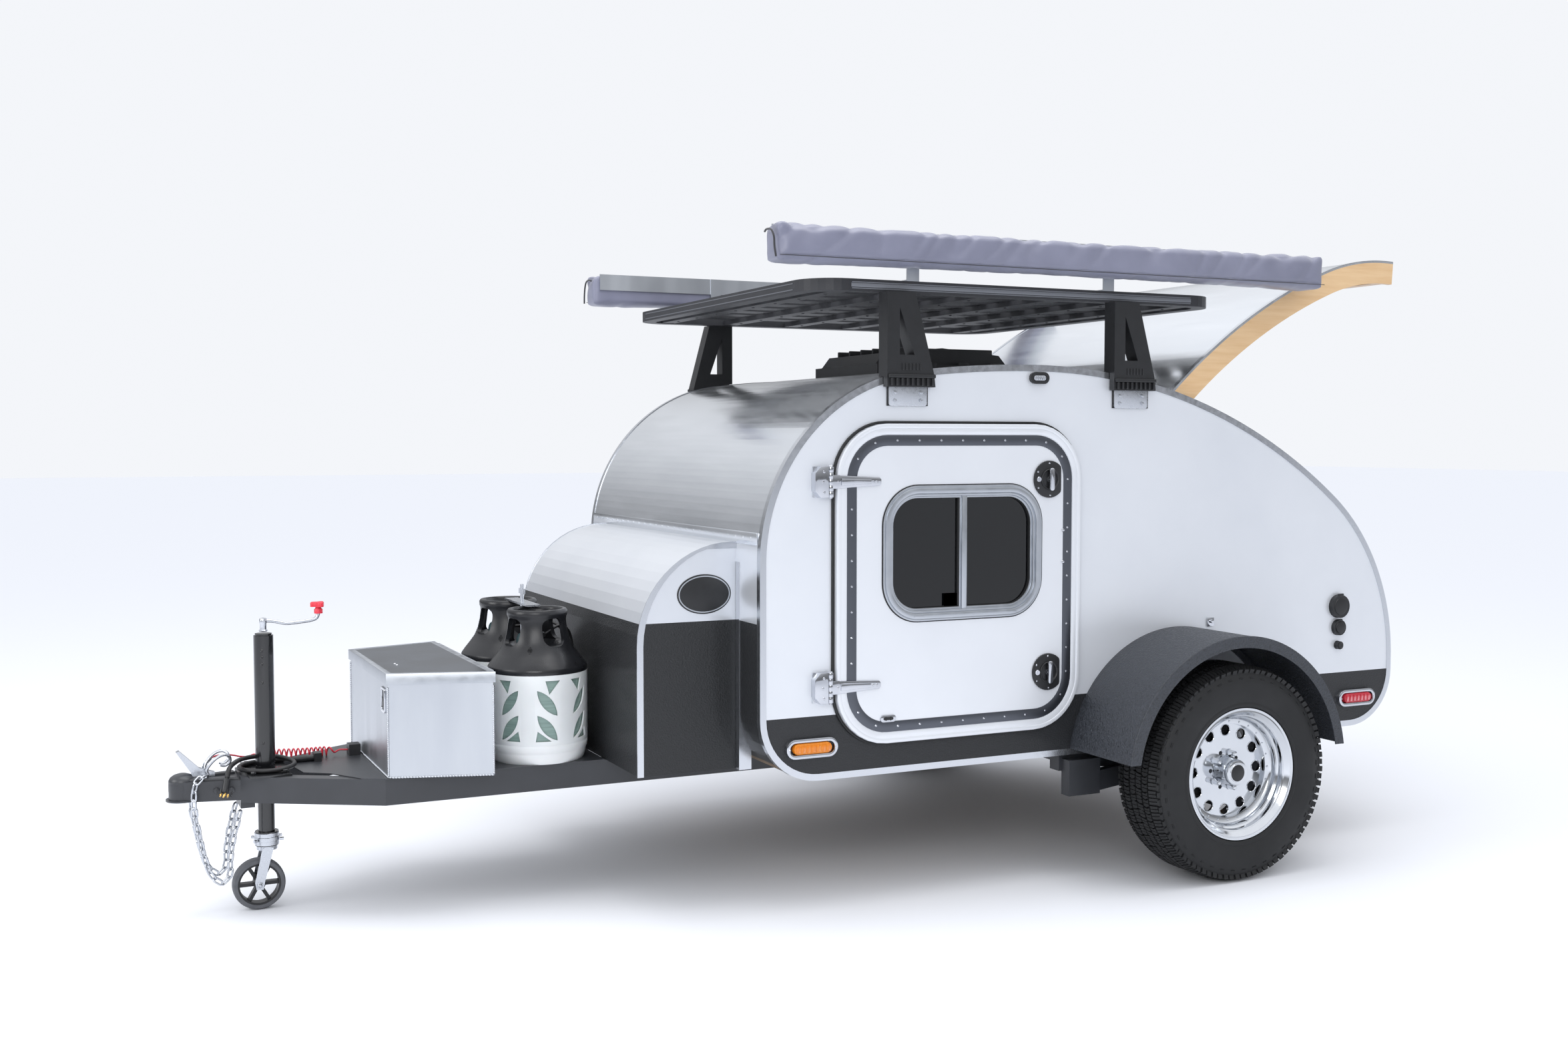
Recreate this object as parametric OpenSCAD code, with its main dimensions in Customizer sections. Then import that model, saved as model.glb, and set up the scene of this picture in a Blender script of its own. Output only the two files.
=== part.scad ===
// Teardrop camping trailer, standing on its two wheels and its tongue jack.
// +X points forward to the coupler, +Y to the left, +Z up. The origin is on the
// ground, in the middle of the whole trailer's length and width.

/* [Running gear] */
// Outside diameter of a tyre
tyre_d = 688; // [620:1:830]
// Width of a tyre
tyre_w = 205; // [170:1:250]
// Distance from the centre plane to the middle of a tyre
tyre_y = 948; // [940:1:1150]
// Radius of the rim's bead seat
rim_r = 190.5; // [165:0.5:203]
// Bolt circle of the wheel studs
stud_pcd = 114.3; // [98:0.1:139.7]
// Gap between tyre and fender
fender_gap = 86; // [60:1:120]

/* [Frame] */
// Height of the frame rails
rail_h = 76; // [50:1:100]
// Width of the frame rails
rail_w = 50; // [38:1:76]
// Distance from the centre plane to a rail's outer face
rail_y = 295; // [220:1:340]
// How far the rails' underside lies below the wheel's axis
rail_drop = 5; // [0:1:40]
// Length of the converging rails ahead of the tongue box
v_len = 375; // [300:5:600]
// Length of the coupler from the rails to its nose
coupler_len = 200; // [160:5:260]
// Diameter of the tow ball that the coupler takes
ball_d = 50.8; // [47.6:0.1:58.7]

/* [Cabin] */
// Width across the side walls' trims
cabin_w = 1524; // [1300:4:1860]
// Distance from the wheel's axis forward to the front wall
cabin_front = 1545; // [1400:5:1860]
// How far the side walls reach below the top of the rails
skirt_drop = 20; // [0:1:60]
// Height from the walls' bottom edge to where the nose starts to curve
nose_rise = 645; // [600:5:800]
// Radius of the nose
nose_r = 570; // [450:5:600]
// Angle through which the nose turns
nose_sweep = 83.3; // [78:0.1:86]
// Radius of the shallow brow behind the nose
brow_r = 3800; // [3000:50:4600]
// Radius of the roof's long slope
crown_r = 2020; // [1700:10:2400]
// Angle at which the slope gives way to the tail
crown_end = 128; // [120:0.5:135]
// Radius of the tail
tail_r = 730; // [500:5:800]
// Radius of the walls' lower corners
corner_r = 190; // [120:5:220]
// Thickness of a side wall
wall_t = 20; // [15:1:30]
// Thickness of the roof, front and rear panels
panel_t = 30; // [20:1:40]
// Width of the polished edge trim
trim_w = 20; // [12:1:30]

/* [Doors] */
// Width of a door over its flange
door_w = 867; // [700:1:1040]
// Height of a door over its flange
door_h = 956; // [800:1:1000]
// Distance from the front wall back to the door's front edge
door_setback = 239; // [200:1:300]
// Height of the door's lower edge above the walls' bottom edge
door_sill = 96; // [60:1:140]
// Corner radius of a door
door_r = 170; // [80:1:200]
// Width of the flange that laps over the wall
door_lap = 30; // [20:1:50]
// Gap between the door and its opening
door_gap = 8; // [5:0.5:12]
// Width of a window over its frame
window_w = 565; // [400:1:620]
// Height of a window over its frame
window_h = 409; // [300:1:500]

/* [Hatch] */
// Angle on the slope where the hatch is hinged
hinge_a = 105.75; // [100:0.25:112]
// Angle on the tail where the hatch ends
hatch_end_a = 154; // [140:0.5:165]
// How far the hatch stands open
hatch_open = 59.5; // [30:0.5:65]
// Depth of the hatch's ribs
rib_d = 80; // [50:1:110]
// Gap between the hatch and the side walls
hatch_gap = 6; // [5:0.5:12]
// Height of the galley counter above the walls' bottom edge
counter_rise = 505; // [450:5:520]

/* [Front storage box] */
// Length of the storage box
box_len = 313; // [200:1:400]
// Width of the storage box
box_w = 1176; // [900:2:1400]
// Height of the storage box
box_h = 682; // [500:1:760]
// Radius of the storage box's front top edge
box_r = 300; // [150:1:320]

/* [Tongue] */
// Radius of a gas bottle
bottle_r = 152.5; // [120:0.5:160]
// Height of a gas bottle
bottle_h = 462; // [400:1:560]
// Gap between the gas bottles
bottle_gap = 26; // [20:1:60]
// Length of the tongue box
tongue_box_len = 287; // [220:1:400]
// Width of the tongue box at its front
tongue_box_front_w = 588; // [400:2:640]
// Width of the tongue box at its rear
tongue_box_back_w = 764; // [500:2:900]
// Height of the tongue box with its lid
tongue_box_h = 305; // [220:1:400]
// Diameter of the jack's outer tube
jack_d = 57; // [50:1:64]
// Height of the jack's outer tube above the rails
jack_rise = 404; // [300:1:450]
// Diameter of the jack wheel
caster_d = 152; // [120:1:200]

/* [Rack and awnings] */
// Gap from the highest point of the roof to the rack
rack_gap = 204; // [150:1:260]
// Length of the rack
rack_len = 1514; // [1200:2:1800]
// Width of the rack
rack_w = 1510; // [1200:2:1520]
// Distance from the front wall back to the rack's front edge
rack_setback = 171; // [100:1:300]
// Length of an awning bag
awning_len = 2035; // [1500:5:2500]
// Height of an awning bag
awning_h = 125; // [90:1:150]
// Width of an awning bag
awning_w = 100; // [80:1:140]

/* [Hidden] */
$fn = 64;
sheet = 3;            // thickness of sheet metal parts
trim_t = 2;           // thickness of trims and hinge leaves
seat = 0.3;           // running gap between pieces that fit in each other
proud = 2;            // how far the trims stand outside the panels

axle_z = tyre_d / 2;
rail_bottom = axle_z - rail_drop;
rail_top = rail_bottom + rail_h;
deck_z = rail_top + sheet;
half_w = cabin_w / 2;
wall_out = half_w - trim_t;
wall_in = wall_out - wall_t;
base_z = rail_top - skirt_drop;
nose_z = base_z + nose_rise;
nose_c = [cabin_front - nose_r, nose_z];
brow_c = nose_c + (nose_r - brow_r) * [cos(nose_sweep), sin(nose_sweep)];
crown_c = brow_c + [0, brow_r - crown_r];
tail_c = crown_c + (crown_r - tail_r) * [cos(crown_end), sin(crown_end)];
cabin_back = tail_c[0] - tail_r;
roof_z = crown_c[1] + crown_r;
heel_r = min(corner_r, tail_c[1] - base_z - 1);
floor_t = 30;
hinge_slit = 0.15;    // angles left open at the hatch's hinge and lower edge
end_slit = 0.5;

// Outline of the cabin's side, moved in by d. Each stretch is one arc.
function arc(c, r, a, b, n) =
    [for (i = [0:n]) c + r * [cos(a + (b - a) * i / n), sin(a + (b - a) * i / n)]];
function rest(p) = [for (i = [1:len(p) - 1]) p[i]];
function flip(p) = [for (i = [len(p) - 1:-1:0]) p[i]];
function toe(d) = arc([cabin_front - corner_r, base_z + corner_r], corner_r - d, -90, 0, 12);
function nose(d) = arc(nose_c, nose_r - d, 0, nose_sweep, 36);
function brow(d) = rest(arc(brow_c, brow_r - d, nose_sweep, 90, 6));
function crown(d) = rest(arc(crown_c, crown_r - d, 90, hinge_a, 12));
function back(d) = arc(crown_c, crown_r - d, hinge_a + hinge_slit, crown_end, 18);
function tail(d) = rest(arc(tail_c, tail_r - d, crown_end, hatch_end_a - end_slit, 16));
function rump(d) = arc(tail_c, tail_r - d, hatch_end_a, 180, 16);
function heel(d) = arc([cabin_back + heel_r, base_z + heel_r], heel_r - d, 180, 270, 12);
function roof_line(d) = concat(nose(d), brow(d), crown(d));
function hatch_line(d) = concat(back(d), tail(d));
function outline(d) = concat(toe(d), roof_line(d), hatch_line(d), rump(d), heel(d));
function band(outer, inner) = concat(outer, flip(inner));
function round_box(x0, z0, x1, z1, r) = concat(
    arc([x1 - r, z0 + r], r, -90, 0, 8), arc([x1 - r, z1 - r], r, 0, 90, 8),
    arc([x0 + r, z1 - r], r, 90, 180, 8), arc([x0 + r, z0 + r], r, 180, 270, 8));

// Front storage box
box_x = cabin_front + box_len;
box_top = rail_top + box_h;
box_back = cabin_front - 40;
box_arc = min(box_r, box_len - 5);
function box_line(d) = concat([[box_x - d, rail_top + d]],
    arc([box_x - box_arc, box_top - box_arc], box_arc - d, 0, 90, 14),
    [[box_back, box_top - d], [box_back, rail_top + d]]);

// Tongue
bottle_x = box_x + 19.5 + bottle_r;
bottle_y = bottle_r + bottle_gap / 2;
tongue_box_back = bottle_x + bottle_r + 45.5;
tongue_box_front = tongue_box_back + tongue_box_len;
lid_h = 30;
lid_gap = 3;
lid_hinge_half = 340;
lid_z = deck_z + tongue_box_h - lid_h;
bend_x = tongue_box_front + 10;
v_end = bend_x + v_len;
v_half = 75;
coupler_tip = v_end + coupler_len;
ball_x = coupler_tip - 46;
jack_x = v_end - 80;
jack_in = jack_d / 2 - 4;
leg_r = jack_in - 0.5;
jack_foot = rail_bottom - 4;
jack_plate_t = 6;
collar_top = rail_bottom - 107;
collar_h = 42;
caster_r = caster_d / 2;
trail = 25;
fork_top = collar_top - collar_h;

// Wheel
rim_w = 203;
lip_r = rim_r + 19.5;
disc_y = 15;
hub_r = 42;
spindle_r = 17;
fender_r = tyre_d / 2 + fender_gap;
fender_c = [30, axle_z + 11];
fender_out = tyre_y + tyre_w / 2 + 24.5;
arm_y = half_w - 22;
arm_t = 30;

// Doors: the hinge axis stands just ahead of the door's front edge
door_x1 = cabin_front - door_setback;
door_x0 = door_x1 - door_w;
door_z0 = base_z + door_sill;
door_z1 = door_z0 + door_h;
door_seal = 2.5;
flange_t = 17.5;
door_out = wall_out + door_seal + flange_t;
hinge_x = door_x1 + 19;
hinge_y = door_out - 2;
hinge_r = 8;
hinge_pin = 4;
hinge_h = 90;
hinge_low = door_z0 + 180;
hinge_high = door_z1 - 171;
window_x0 = door_x0 + 148;
window_z0 = door_z0 + 362;
window_r = 120;
frame_w = 38;
latch_x = door_x0 + 121;

// Hatch hinge line, on top of the roof's skin
hatch_half = wall_in - hatch_gap;
knuckle_r = 5;
pin_rise = 4;
hinge_pt = crown_c + (crown_r + pin_rise) * [cos(hinge_a), sin(hinge_a)];
hatch_skin = 6;
hatch_pts = [for (p = hatch_line(0)) p - hinge_pt];
hatch_reach = min([for (p = hatch_pts) p[0] * cos(hatch_open) + p[1] * sin(hatch_open)]) + hinge_pt[0];
mid_x = (coupler_tip + hatch_reach) / 2;

// Rack
rack_z = roof_z + rack_gap;
rack_t = 36;
rack_x1 = cabin_front - rack_setback;
rack_x0 = rack_x1 - rack_len;
rack_half = rack_w / 2;
leg_x = [rack_x1 - 314, rack_x1 - 1138];
leg_w = 165;
leg_in = rack_half - 20;
leg_out = half_w + 26;
plate_out = wall_out + 4;
awning_z = rack_z + rack_t + 23;
awning_x1 = rack_x1 + 161;
awning_x0 = awning_x1 - awning_len;
awning_in = rack_half + 5;
strap_x = [rack_x1 - 336, rack_x1 - 1054];

// Cords: each route is a list of points along its middle, measured from the
// wheel's axis
cable_d = 14;
coil_d = 32;
lead_d = 5;
chain_d = 20;
plug_r = 22;
cable_pts = [[2705, -60, 428], [2740, -60, 428], [2775, -71, 428], [2810, -74, 428], [2845, -67, 428],
    [2873, -48, 428], [2891, -20, 428], [2894, 12, 428], [2885, 42, 428], [2862, 67, 428], [2832, 81, 428],
    [2798, 81, 428], [2767, 68, 430], [2746, 44, 432], [2740, 14, 434], [2748, -16, 437], [2767, -40, 441],
    [2796, -53, 445], [2827, -52, 448], [2854, -38, 450], [2877, -15, 452], [2896, 12, 453],
    [2911, 40, 452], [2924, 64, 448], [2934, 82, 437], [2938, 90, 420]];
coil_pts = [[2560, -115, 434], [2600, -116, 434], [2640, -118, 434], [2680, -119, 434], [2720, -119, 435],
    [2760, -118, 437], [2800, -116, 437], [2840, -114, 438], [2876, -110, 440]];
lead_pts = [[2876, -110, 440], [2900, -98, 448], [2925, -80, 455], [2950, -62, 458], [2968, -48, 455],
    [2980, -38, 446]];
chain_pts = [[2985, 28, 415.3], [2998, 42, 416], [3010, 54, 414], [3020, 61, 404], [3026, 62, 385],
    [3028, 62, 350], [3026, 60, 310], [3016, 58, 255], [3003, 57, 190], [2988, 56, 140], [2968, 56, 112],
    [2948, 56, 106], [2932, 56, 128], [2930, 56, 170], [2922, 56, 225], [2910, 56, 275], [2898, 56, 320]];
plug_len = 62;
hose_d = 9;
hose_pts = [[2026, 158, 790], [2012, 146, 791], [1994, 128, 794], [1976, 110, 799], [1956, 92, 806], [1934, 74, 810],
    [1912, 58, 806], [1893, 44, 792], [1881, 34, 770], [1874, 26, 740], [1871, 20, 700], [1870, 17, 650], [1870, 16, 590],
    [1870, 16, 530], [1870, 16, 470], [1870, 16, 419]];

module place() { translate([-mid_x, 0, 0]) children(); }
module slab(y0, y1) { translate([0, y1, 0]) rotate([90, 0, 0]) linear_extrude(y1 - y0) children(); }
module both() { children(); mirror([0, 1, 0]) children(); }
module side(s) { if (s > 0) children(); else mirror([0, 1, 0]) children(); }
module rod(r, y0, y1) { translate([0, y1, 0]) rotate([90, 0, 0]) cylinder(r = r, h = y1 - y0); }
module block(lo, hi) { translate(lo) cube(hi - lo); }

// A tube swept along points, with a ring of eight corners at each point.
function unit(v) = v / norm(v);
function along(p, i) = unit(p[min(i + 1, len(p) - 1)] - p[max(i - 1, 0)]);
function ring(p, i, r, n) = let (t = along(p, i), u = unit(cross(t, abs(t[2]) > 0.9 ? [0, 1, 0] : [0, 0, 1])),
    v = cross(t, u)) [for (k = [0:n - 1]) p[i] + r * (u * cos(360 * k / n) + v * sin(360 * k / n))];
module sweep(p, r, n) {
    m = len(p);
    polyhedron([for (i = [0:m - 1]) for (q = ring(p, i, r, n)) q],
        concat([[for (k = [0:n - 1]) k]],
            [for (i = [0:m - 2]) for (k = [0:n - 1])
                [i * n + k, (i + 1) * n + k, (i + 1) * n + (k + 1) % n, i * n + (k + 1) % n]],
            [[for (k = [n - 1:-1:0]) (m - 1) * n + k]]));
}

// ---- Frame and running gear ----
cross_x = [cabin_back + 170, -300, 350, 950, 1500, box_x + 20, bend_x - rail_w];
side_rail_y = half_w - 27;
module chassis_frame() color("dimgray") place() {
    translate([0, 0, rail_bottom]) linear_extrude(rail_h) {
        for (s = [-1, 1])
            polygon([[cross_x[0], s * rail_y], [bend_x, s * rail_y], [v_end, s * v_half],
                     [v_end, s * (v_half - rail_w)], [bend_x, s * (rail_y - rail_w)],
                     [cross_x[0], s * (rail_y - rail_w)]]);
        for (x = cross_x) translate([x, -rail_y + 1]) square([rail_w, 2 * rail_y - 2]);
        for (x = [cross_x[1], cross_x[2]])
            translate([x, -side_rail_y]) square([rail_w, 2 * side_rail_y]);
        for (s = [-1, 1])
            translate([cross_x[1] - 40, s * (side_rail_y - rail_w / 2) - rail_w / 2])
                square([cross_x[2] - cross_x[1] + 170, rail_w]);
        translate([v_end - 30, -v_half + 1]) square([30, 2 * v_half - 2]);
    }
    block([v_end - 40, -v_half + 5, rail_bottom - 18], [v_end, v_half - 5, rail_bottom]);
}

module suspension() color("black") place() both() difference() {
    union() {
        block([350, side_rail_y, rail_bottom - 75], [470, arm_y + arm_t + 8, rail_bottom + 40]);
        slab(arm_y, arm_y + arm_t)
            polygon([[350, rail_bottom - 68], [350, rail_bottom - 4], [20, axle_z + 30], [-20, axle_z + 30],
                     [-20, axle_z - 30], [20, axle_z - 34]]);
        translate([0, 0, axle_z]) rod(40, arm_y, arm_y + arm_t);
        translate([0, 0, axle_z]) rod(115, arm_y + arm_t, arm_y + arm_t + 6);
        translate([0, 0, axle_z]) rod(spindle_r, arm_y + arm_t, tyre_y + disc_y - 12);
    }
    translate([0, 0, axle_z]) rod(6, arm_y - 1, arm_y + 8);
}

module hub(s) color("dimgray") place() side(s) translate([0, 0, axle_z]) difference() {
    union() {
        rod(120, arm_y + arm_t + 14, tyre_y + disc_y - 20);
        rod(70, tyre_y + disc_y - 20, tyre_y + disc_y - 8);
    }
    rod(spindle_r + 0.1, arm_y, tyre_y + disc_y - 4);
    rod(105, arm_y, tyre_y + disc_y - 60);
}
module left_hub() { hub(1); }
module right_hub() { hub(-1); }

module rim(s) color("silver") place() side(s) translate([0, tyre_y, axle_z]) {
    difference() {
        union() {
            rotate([-90, 0, 0]) rotate_extrude()
                polygon([[rim_r - 7, -rim_w / 2 + 6], [lip_r, -rim_w / 2 + 6], [lip_r, -rim_w / 2 + 14],
                         [rim_r, -rim_w / 2 + 16], [rim_r, rim_w / 2 - 16], [lip_r, rim_w / 2 - 14],
                         [lip_r, rim_w / 2 - 6], [lip_r - 6, rim_w / 2 - 6], [rim_r - 7, rim_w / 2 - 20]]);
            rod(rim_r - 6, disc_y - 8, disc_y);
        }
        rod(hub_r, disc_y - 30, disc_y + 10);
        for (i = [0:11]) rotate([0, i * 30, 0]) translate([128, 0, 0]) rod(17, disc_y - 30, disc_y + 10);
        for (i = [0:4]) rotate([0, i * 72, 0]) translate([stud_pcd / 2, 0, 0]) rod(7, disc_y - 30, disc_y + 10);
    }
    rod(hub_r - seat, disc_y - 8, disc_y + 52);
}
module left_rim() { rim(1); }
module right_rim() { rim(-1); }

module tyre(s) color([0.1, 0.1, 0.11]) place() side(s) translate([0, tyre_y, axle_z])
    rotate([-90, 0, 0]) rotate_extrude() let (w = tyre_w / 2, r = tyre_d / 2, b = rim_r + seat, h = r - b)
        polygon([[b, -rim_w / 2 + 18], [lip_r + 1, -rim_w / 2 + 15], [lip_r + 4, -rim_w / 2 + 4], [b + 0.3 * h, -w + 1], [b + 0.5 * h, -w],
                 [b + 0.75 * h, -w + 3], [r - 14, -w + 12], [r - 4, -w + 22], [r, -w + 34], [r, w - 34],
                 [r - 4, w - 22], [r - 14, w - 12], [b + 0.75 * h, w - 3], [b + 0.5 * h, w],
                 [b + 0.3 * h, w - 1], [lip_r + 4, rim_w / 2 - 4], [lip_r + 1, rim_w / 2 - 15], [b, rim_w / 2 - 18]]);
module left_tyre() { tyre(1); }
module right_tyre() { tyre(-1); }

module fender(s) color([0.16, 0.17, 0.19]) place() side(s) difference() {
    union() {
        translate([fender_c[0], 0, fender_c[1]]) difference() {
            rod(fender_r, wall_out + trim_t, fender_out);
            rod(fender_r - sheet, wall_out, fender_out - sheet);
            rod(fender_r - 35, wall_out, fender_out + 1);
        }
        translate([fender_c[0], 0, fender_c[1]]) difference() {
            rod(fender_r, wall_out, wall_out + trim_t + sheet);
            rod(fender_r - 24, wall_out - 1, wall_out + trim_t + sheet + 1);
        }
    }
    block([-2 * fender_r, wall_out - 1, -fender_r], [2 * fender_r, fender_out + 1, rail_top]);
}
module left_fender() { fender(1); }
module right_fender() { fender(-1); }

// ---- Tongue ----
module tongue_deck() color([0.17, 0.17, 0.19]) place() translate([0, 0, rail_top]) linear_extrude(sheet) {
    translate([box_x, -rail_y - 5]) square([bend_x - box_x, 2 * rail_y + 10]);
    polygon([[bend_x - 1, -rail_y], [bend_x - 1, rail_y], [bend_x + 60, rail_y - 35], [bend_x + 130, 150],
             [bend_x + 200, 100], [bend_x + 215, 0], [bend_x + 200, -100], [bend_x + 130, -150],
             [bend_x + 60, -rail_y + 35]]);
}

module coupler() color([0.2, 0.2, 0.22]) place() difference() {
    union() {
        translate([0, 0, rail_bottom + 8]) linear_extrude(58)
            polygon([[v_end, v_half], [v_end, -v_half], [ball_x, -38], [ball_x, 38]]);
        translate([ball_x, 0, rail_bottom + 8]) cylinder(r = 38, h = 58);
        translate([ball_x, 0, rail_bottom + 8]) cylinder(r = 46, h = 5);
    }
    translate([ball_x, 0, rail_bottom]) cylinder(r = ball_d / 2 + 0.6, h = 46);
    translate([ball_x - 100, -30, rail_bottom]) cube([50, 60, 50]);
}

module coupler_latch() color([0.65, 0.66, 0.68]) place() {
    slab(-11, 11) polygon([[ball_x - 90, rail_bottom + 66], [ball_x - 30, rail_bottom + 66],
        [ball_x - 26, rail_bottom + 84], [ball_x + 16, rail_bottom + 150], [ball_x + 8, rail_bottom + 154],
        [ball_x - 46, rail_bottom + 100], [ball_x - 90, rail_bottom + 84]]);
}

module jack_tube() color([0.08, 0.08, 0.09]) place() translate([jack_x, 0, 0]) difference() {
    union() {
        translate([0, 0, jack_foot]) cylinder(r = jack_d / 2, h = rail_top + jack_rise - jack_foot);
        translate([-60, -120, rail_top]) cube([120, 240, jack_plate_t]);
        translate([0, 0, rail_top + jack_rise]) cylinder(r = jack_d / 2 - 4, h = 6);
    }
    translate([0, 0, jack_foot - 1]) cylinder(r = jack_in, h = rail_top + jack_rise - 4 - jack_foot);
}

crank_z = rail_top + jack_rise + 6;
crank_pts = [[0, 0, 30], [-18, 0, 30], [-40, 0, 26], [-66, 0, 20], [-100, 0, 22], [-130, 0, 25], [-150, 0, 30],
    [-158, 0, 40], [-160, 0, 52]];
module jack_crank() color([0.75, 0.76, 0.78]) place() translate([jack_x, 0, crank_z]) {
    cylinder(r = 9, h = 40);
    sweep(crank_pts, 5.5, 10);
    color("red") translate([-160, 0, 46]) cylinder(r = 12, h = 22);
    color("red") translate([-160, 0, 66]) cylinder(r = 24, h = 16);
}

leg_top = rail_top + jack_rise - 110;
module jack_leg() color([0.15, 0.15, 0.16]) place() translate([jack_x, 0, 0]) difference() {
    union() {
        translate([0, 0, collar_top - 4]) cylinder(r = leg_r, h = leg_top - collar_top + 4);
        translate([0, 0, fork_top]) cylinder(r = leg_r + 10, h = collar_h);
    }
    translate([0, 0, fork_top - 1]) cylinder(r = 10.1, h = 30);
}

fork_gap = 26;
module caster_fork() color([0.8, 0.81, 0.82]) place() translate([jack_x, 0, 0]) {
    translate([0, 0, fork_top - 12 - seat]) cylinder(r = 30, h = 12);
    translate([0, 0, fork_top - 1]) cylinder(r = 10, h = 26);
    for (s = [-1, 1])
        slab(s * fork_gap + min(0, s * 4), s * fork_gap + max(0, s * 4))
            polygon([[-16, fork_top - 4], [16, fork_top - 4], [trail + 14, caster_r + 8], [trail + 10, caster_r - 14],
                     [trail - 10, caster_r - 14], [trail - 14, caster_r + 8]]);
    translate([trail, 0, caster_r]) rod(6, -fork_gap - 8, fork_gap + 8);
}

module caster_wheel() color([0.2, 0.2, 0.21]) place() translate([jack_x + trail, 0, caster_r])
    rotate([-90, 0, 0]) rotate_extrude()
        polygon([[6.1, -22], [22, -22], [24, -10], [caster_r - 16, -8], [caster_r - 14, -20],
                 [caster_r - 4, -20], [caster_r, -12], [caster_r, 12], [caster_r - 4, 20],
                 [caster_r - 14, 20], [caster_r - 16, 8], [24, 10], [22, 22], [6.1, 22]]);

module bottle_at(s) { translate([bottle_x, s * bottle_y, deck_z]) children(); }
collar_z = bottle_h - 190;
module gas_bottles() color([0.9, 0.9, 0.9]) place() for (s = [-1, 1]) bottle_at(s)
    rotate_extrude() polygon([[0, 0], [bottle_r - 14, 0], [bottle_r - 6, 30], [bottle_r, 60],
        [bottle_r, collar_z], [0, collar_z]]);

module gas_collars() color([0.12, 0.12, 0.13]) place() for (s = [-1, 1]) bottle_at(s) difference() {
    rotate_extrude() polygon([[0, collar_z], [bottle_r, collar_z], [bottle_r, collar_z + 18],
        [bottle_r - 20, collar_z + 42], [bottle_r - 52, collar_z + 90], [bottle_r - 64, collar_z + 150],
        [bottle_r - 60, bottle_h - 12], [bottle_r - 60, bottle_h], [bottle_r - 72, bottle_h],
        [bottle_r - 76, collar_z + 104], [26, collar_z + 60], [0, collar_z + 60]]);
    for (a = [0:90:270]) rotate([0, 0, a + 45]) translate([50, -34, collar_z + 84]) cube([80, 68, 74]);
}

module gas_valves() place() {
    color([0.72, 0.58, 0.3]) for (s = [-1, 1]) bottle_at(s) {
        translate([0, 0, collar_z + 60]) cylinder(r = 14, h = 50);
        translate([0, 0, collar_z + 110]) cylinder(r = 20, h = 10);
        translate([12, -9, collar_z + 80]) cube([34, 18, 18]);
    }
    color([0.06, 0.06, 0.07]) both() sweep(hose_pts, hose_d / 2, 8);
}

module bottle_clamp() color([0.7, 0.71, 0.72]) place() {
    translate([bottle_x, 0, deck_z]) cylinder(r = 6, h = bottle_h + 60);
    block([bottle_x - 22, -bottle_y + 40, deck_z + bottle_h + seat], [bottle_x + 22, bottle_y - 40, deck_z + bottle_h + 6]);
    block([bottle_x - 4, -24, deck_z + bottle_h + 30], [bottle_x + 4, 24, deck_z + bottle_h + 46]);
}

function trapeze(d) = [[tongue_box_back - d, -tongue_box_back_w / 2 - d], [tongue_box_back - d, tongue_box_back_w / 2 + d],
    [tongue_box_front + d, tongue_box_front_w / 2 + d], [tongue_box_front + d, -tongue_box_front_w / 2 - d]];
lid_pin = [tongue_box_back - lid_gap - trim_t - 4.3, lid_z + lid_h - 4];
module tongue_box() color([0.82, 0.83, 0.85]) place() {
    translate([0, 0, deck_z]) difference() {
        linear_extrude(tongue_box_h - sheet - seat) polygon(trapeze(0));
        translate([0, 0, sheet]) linear_extrude(tongue_box_h) polygon(trapeze(-sheet));
    }
    translate([lid_pin[0], 0, lid_pin[1]]) rod(4, -lid_hinge_half, lid_hinge_half);
    block([lid_pin[0], -lid_hinge_half, lid_pin[1] - 12], [tongue_box_back + 1, lid_hinge_half, lid_pin[1] - 2]);
}
module tongue_box_lid() color([0.8, 0.81, 0.83]) place() difference() {
    translate([0, 0, lid_z]) linear_extrude(lid_h) polygon(trapeze(lid_gap + trim_t));
    translate([0, 0, lid_z - 1]) linear_extrude(lid_h - sheet + 1) polygon(trapeze(lid_gap));
    block([tongue_box_back - 10, -half_w, lid_z - 1], [tongue_box_back, half_w, lid_z + lid_h - sheet]);
}

// ---- Cabin ----
module cabin_floor() color([0.5, 0.42, 0.32]) place() intersection() {
    slab(-wall_in, wall_in) polygon(outline(proud));
    block([cabin_back - 1, -half_w, rail_top], [cabin_front + 1, half_w, rail_top + floor_t]);
}

module wall(s) color([0.87, 0.88, 0.9]) place() side(s) difference() {
    slab(wall_in, wall_out) polygon(outline(proud));
    slab(wall_in - 1, wall_out + 1) polygon(round_box(door_x0 + door_lap, door_z0 + door_lap,
        door_x1 - door_lap, door_z1 - door_lap, door_r - door_lap));
}
module left_wall() { wall(1); }
module right_wall() { wall(-1); }

module edge_trim() color([0.75, 0.76, 0.78]) place() both() {
    slab(wall_out, half_w) difference() {
        polygon(outline(0));
        polygon(outline(trim_w));
    }
    slab(wall_in, wall_out) difference() {
        polygon(outline(0));
        polygon(outline(proud));
    }
}

function shell_line(d) = concat(toe(d), roof_line(d));
module shell(z0, z1) intersection() {
    slab(-wall_in, wall_in) polygon(band(shell_line(proud), shell_line(panel_t + proud)));
    block([cabin_back, -half_w, z0], [cabin_front + 1, half_w, z1]);
}
module front_wall() color([0.86, 0.87, 0.89]) place() shell(rail_top + floor_t, box_top);
module roof() color([0.84, 0.85, 0.87]) place() shell(box_top, roof_z);
module rear_panel() color([0.86, 0.87, 0.89]) place() intersection() {
    slab(-wall_in, wall_in) polygon(band(concat(rump(proud), rest(heel(proud))), concat(rump(panel_t + proud), rest(heel(panel_t + proud)))));
    block([cabin_back - 1, -half_w, rail_top + floor_t], [0, half_w, roof_z]);
}

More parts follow.
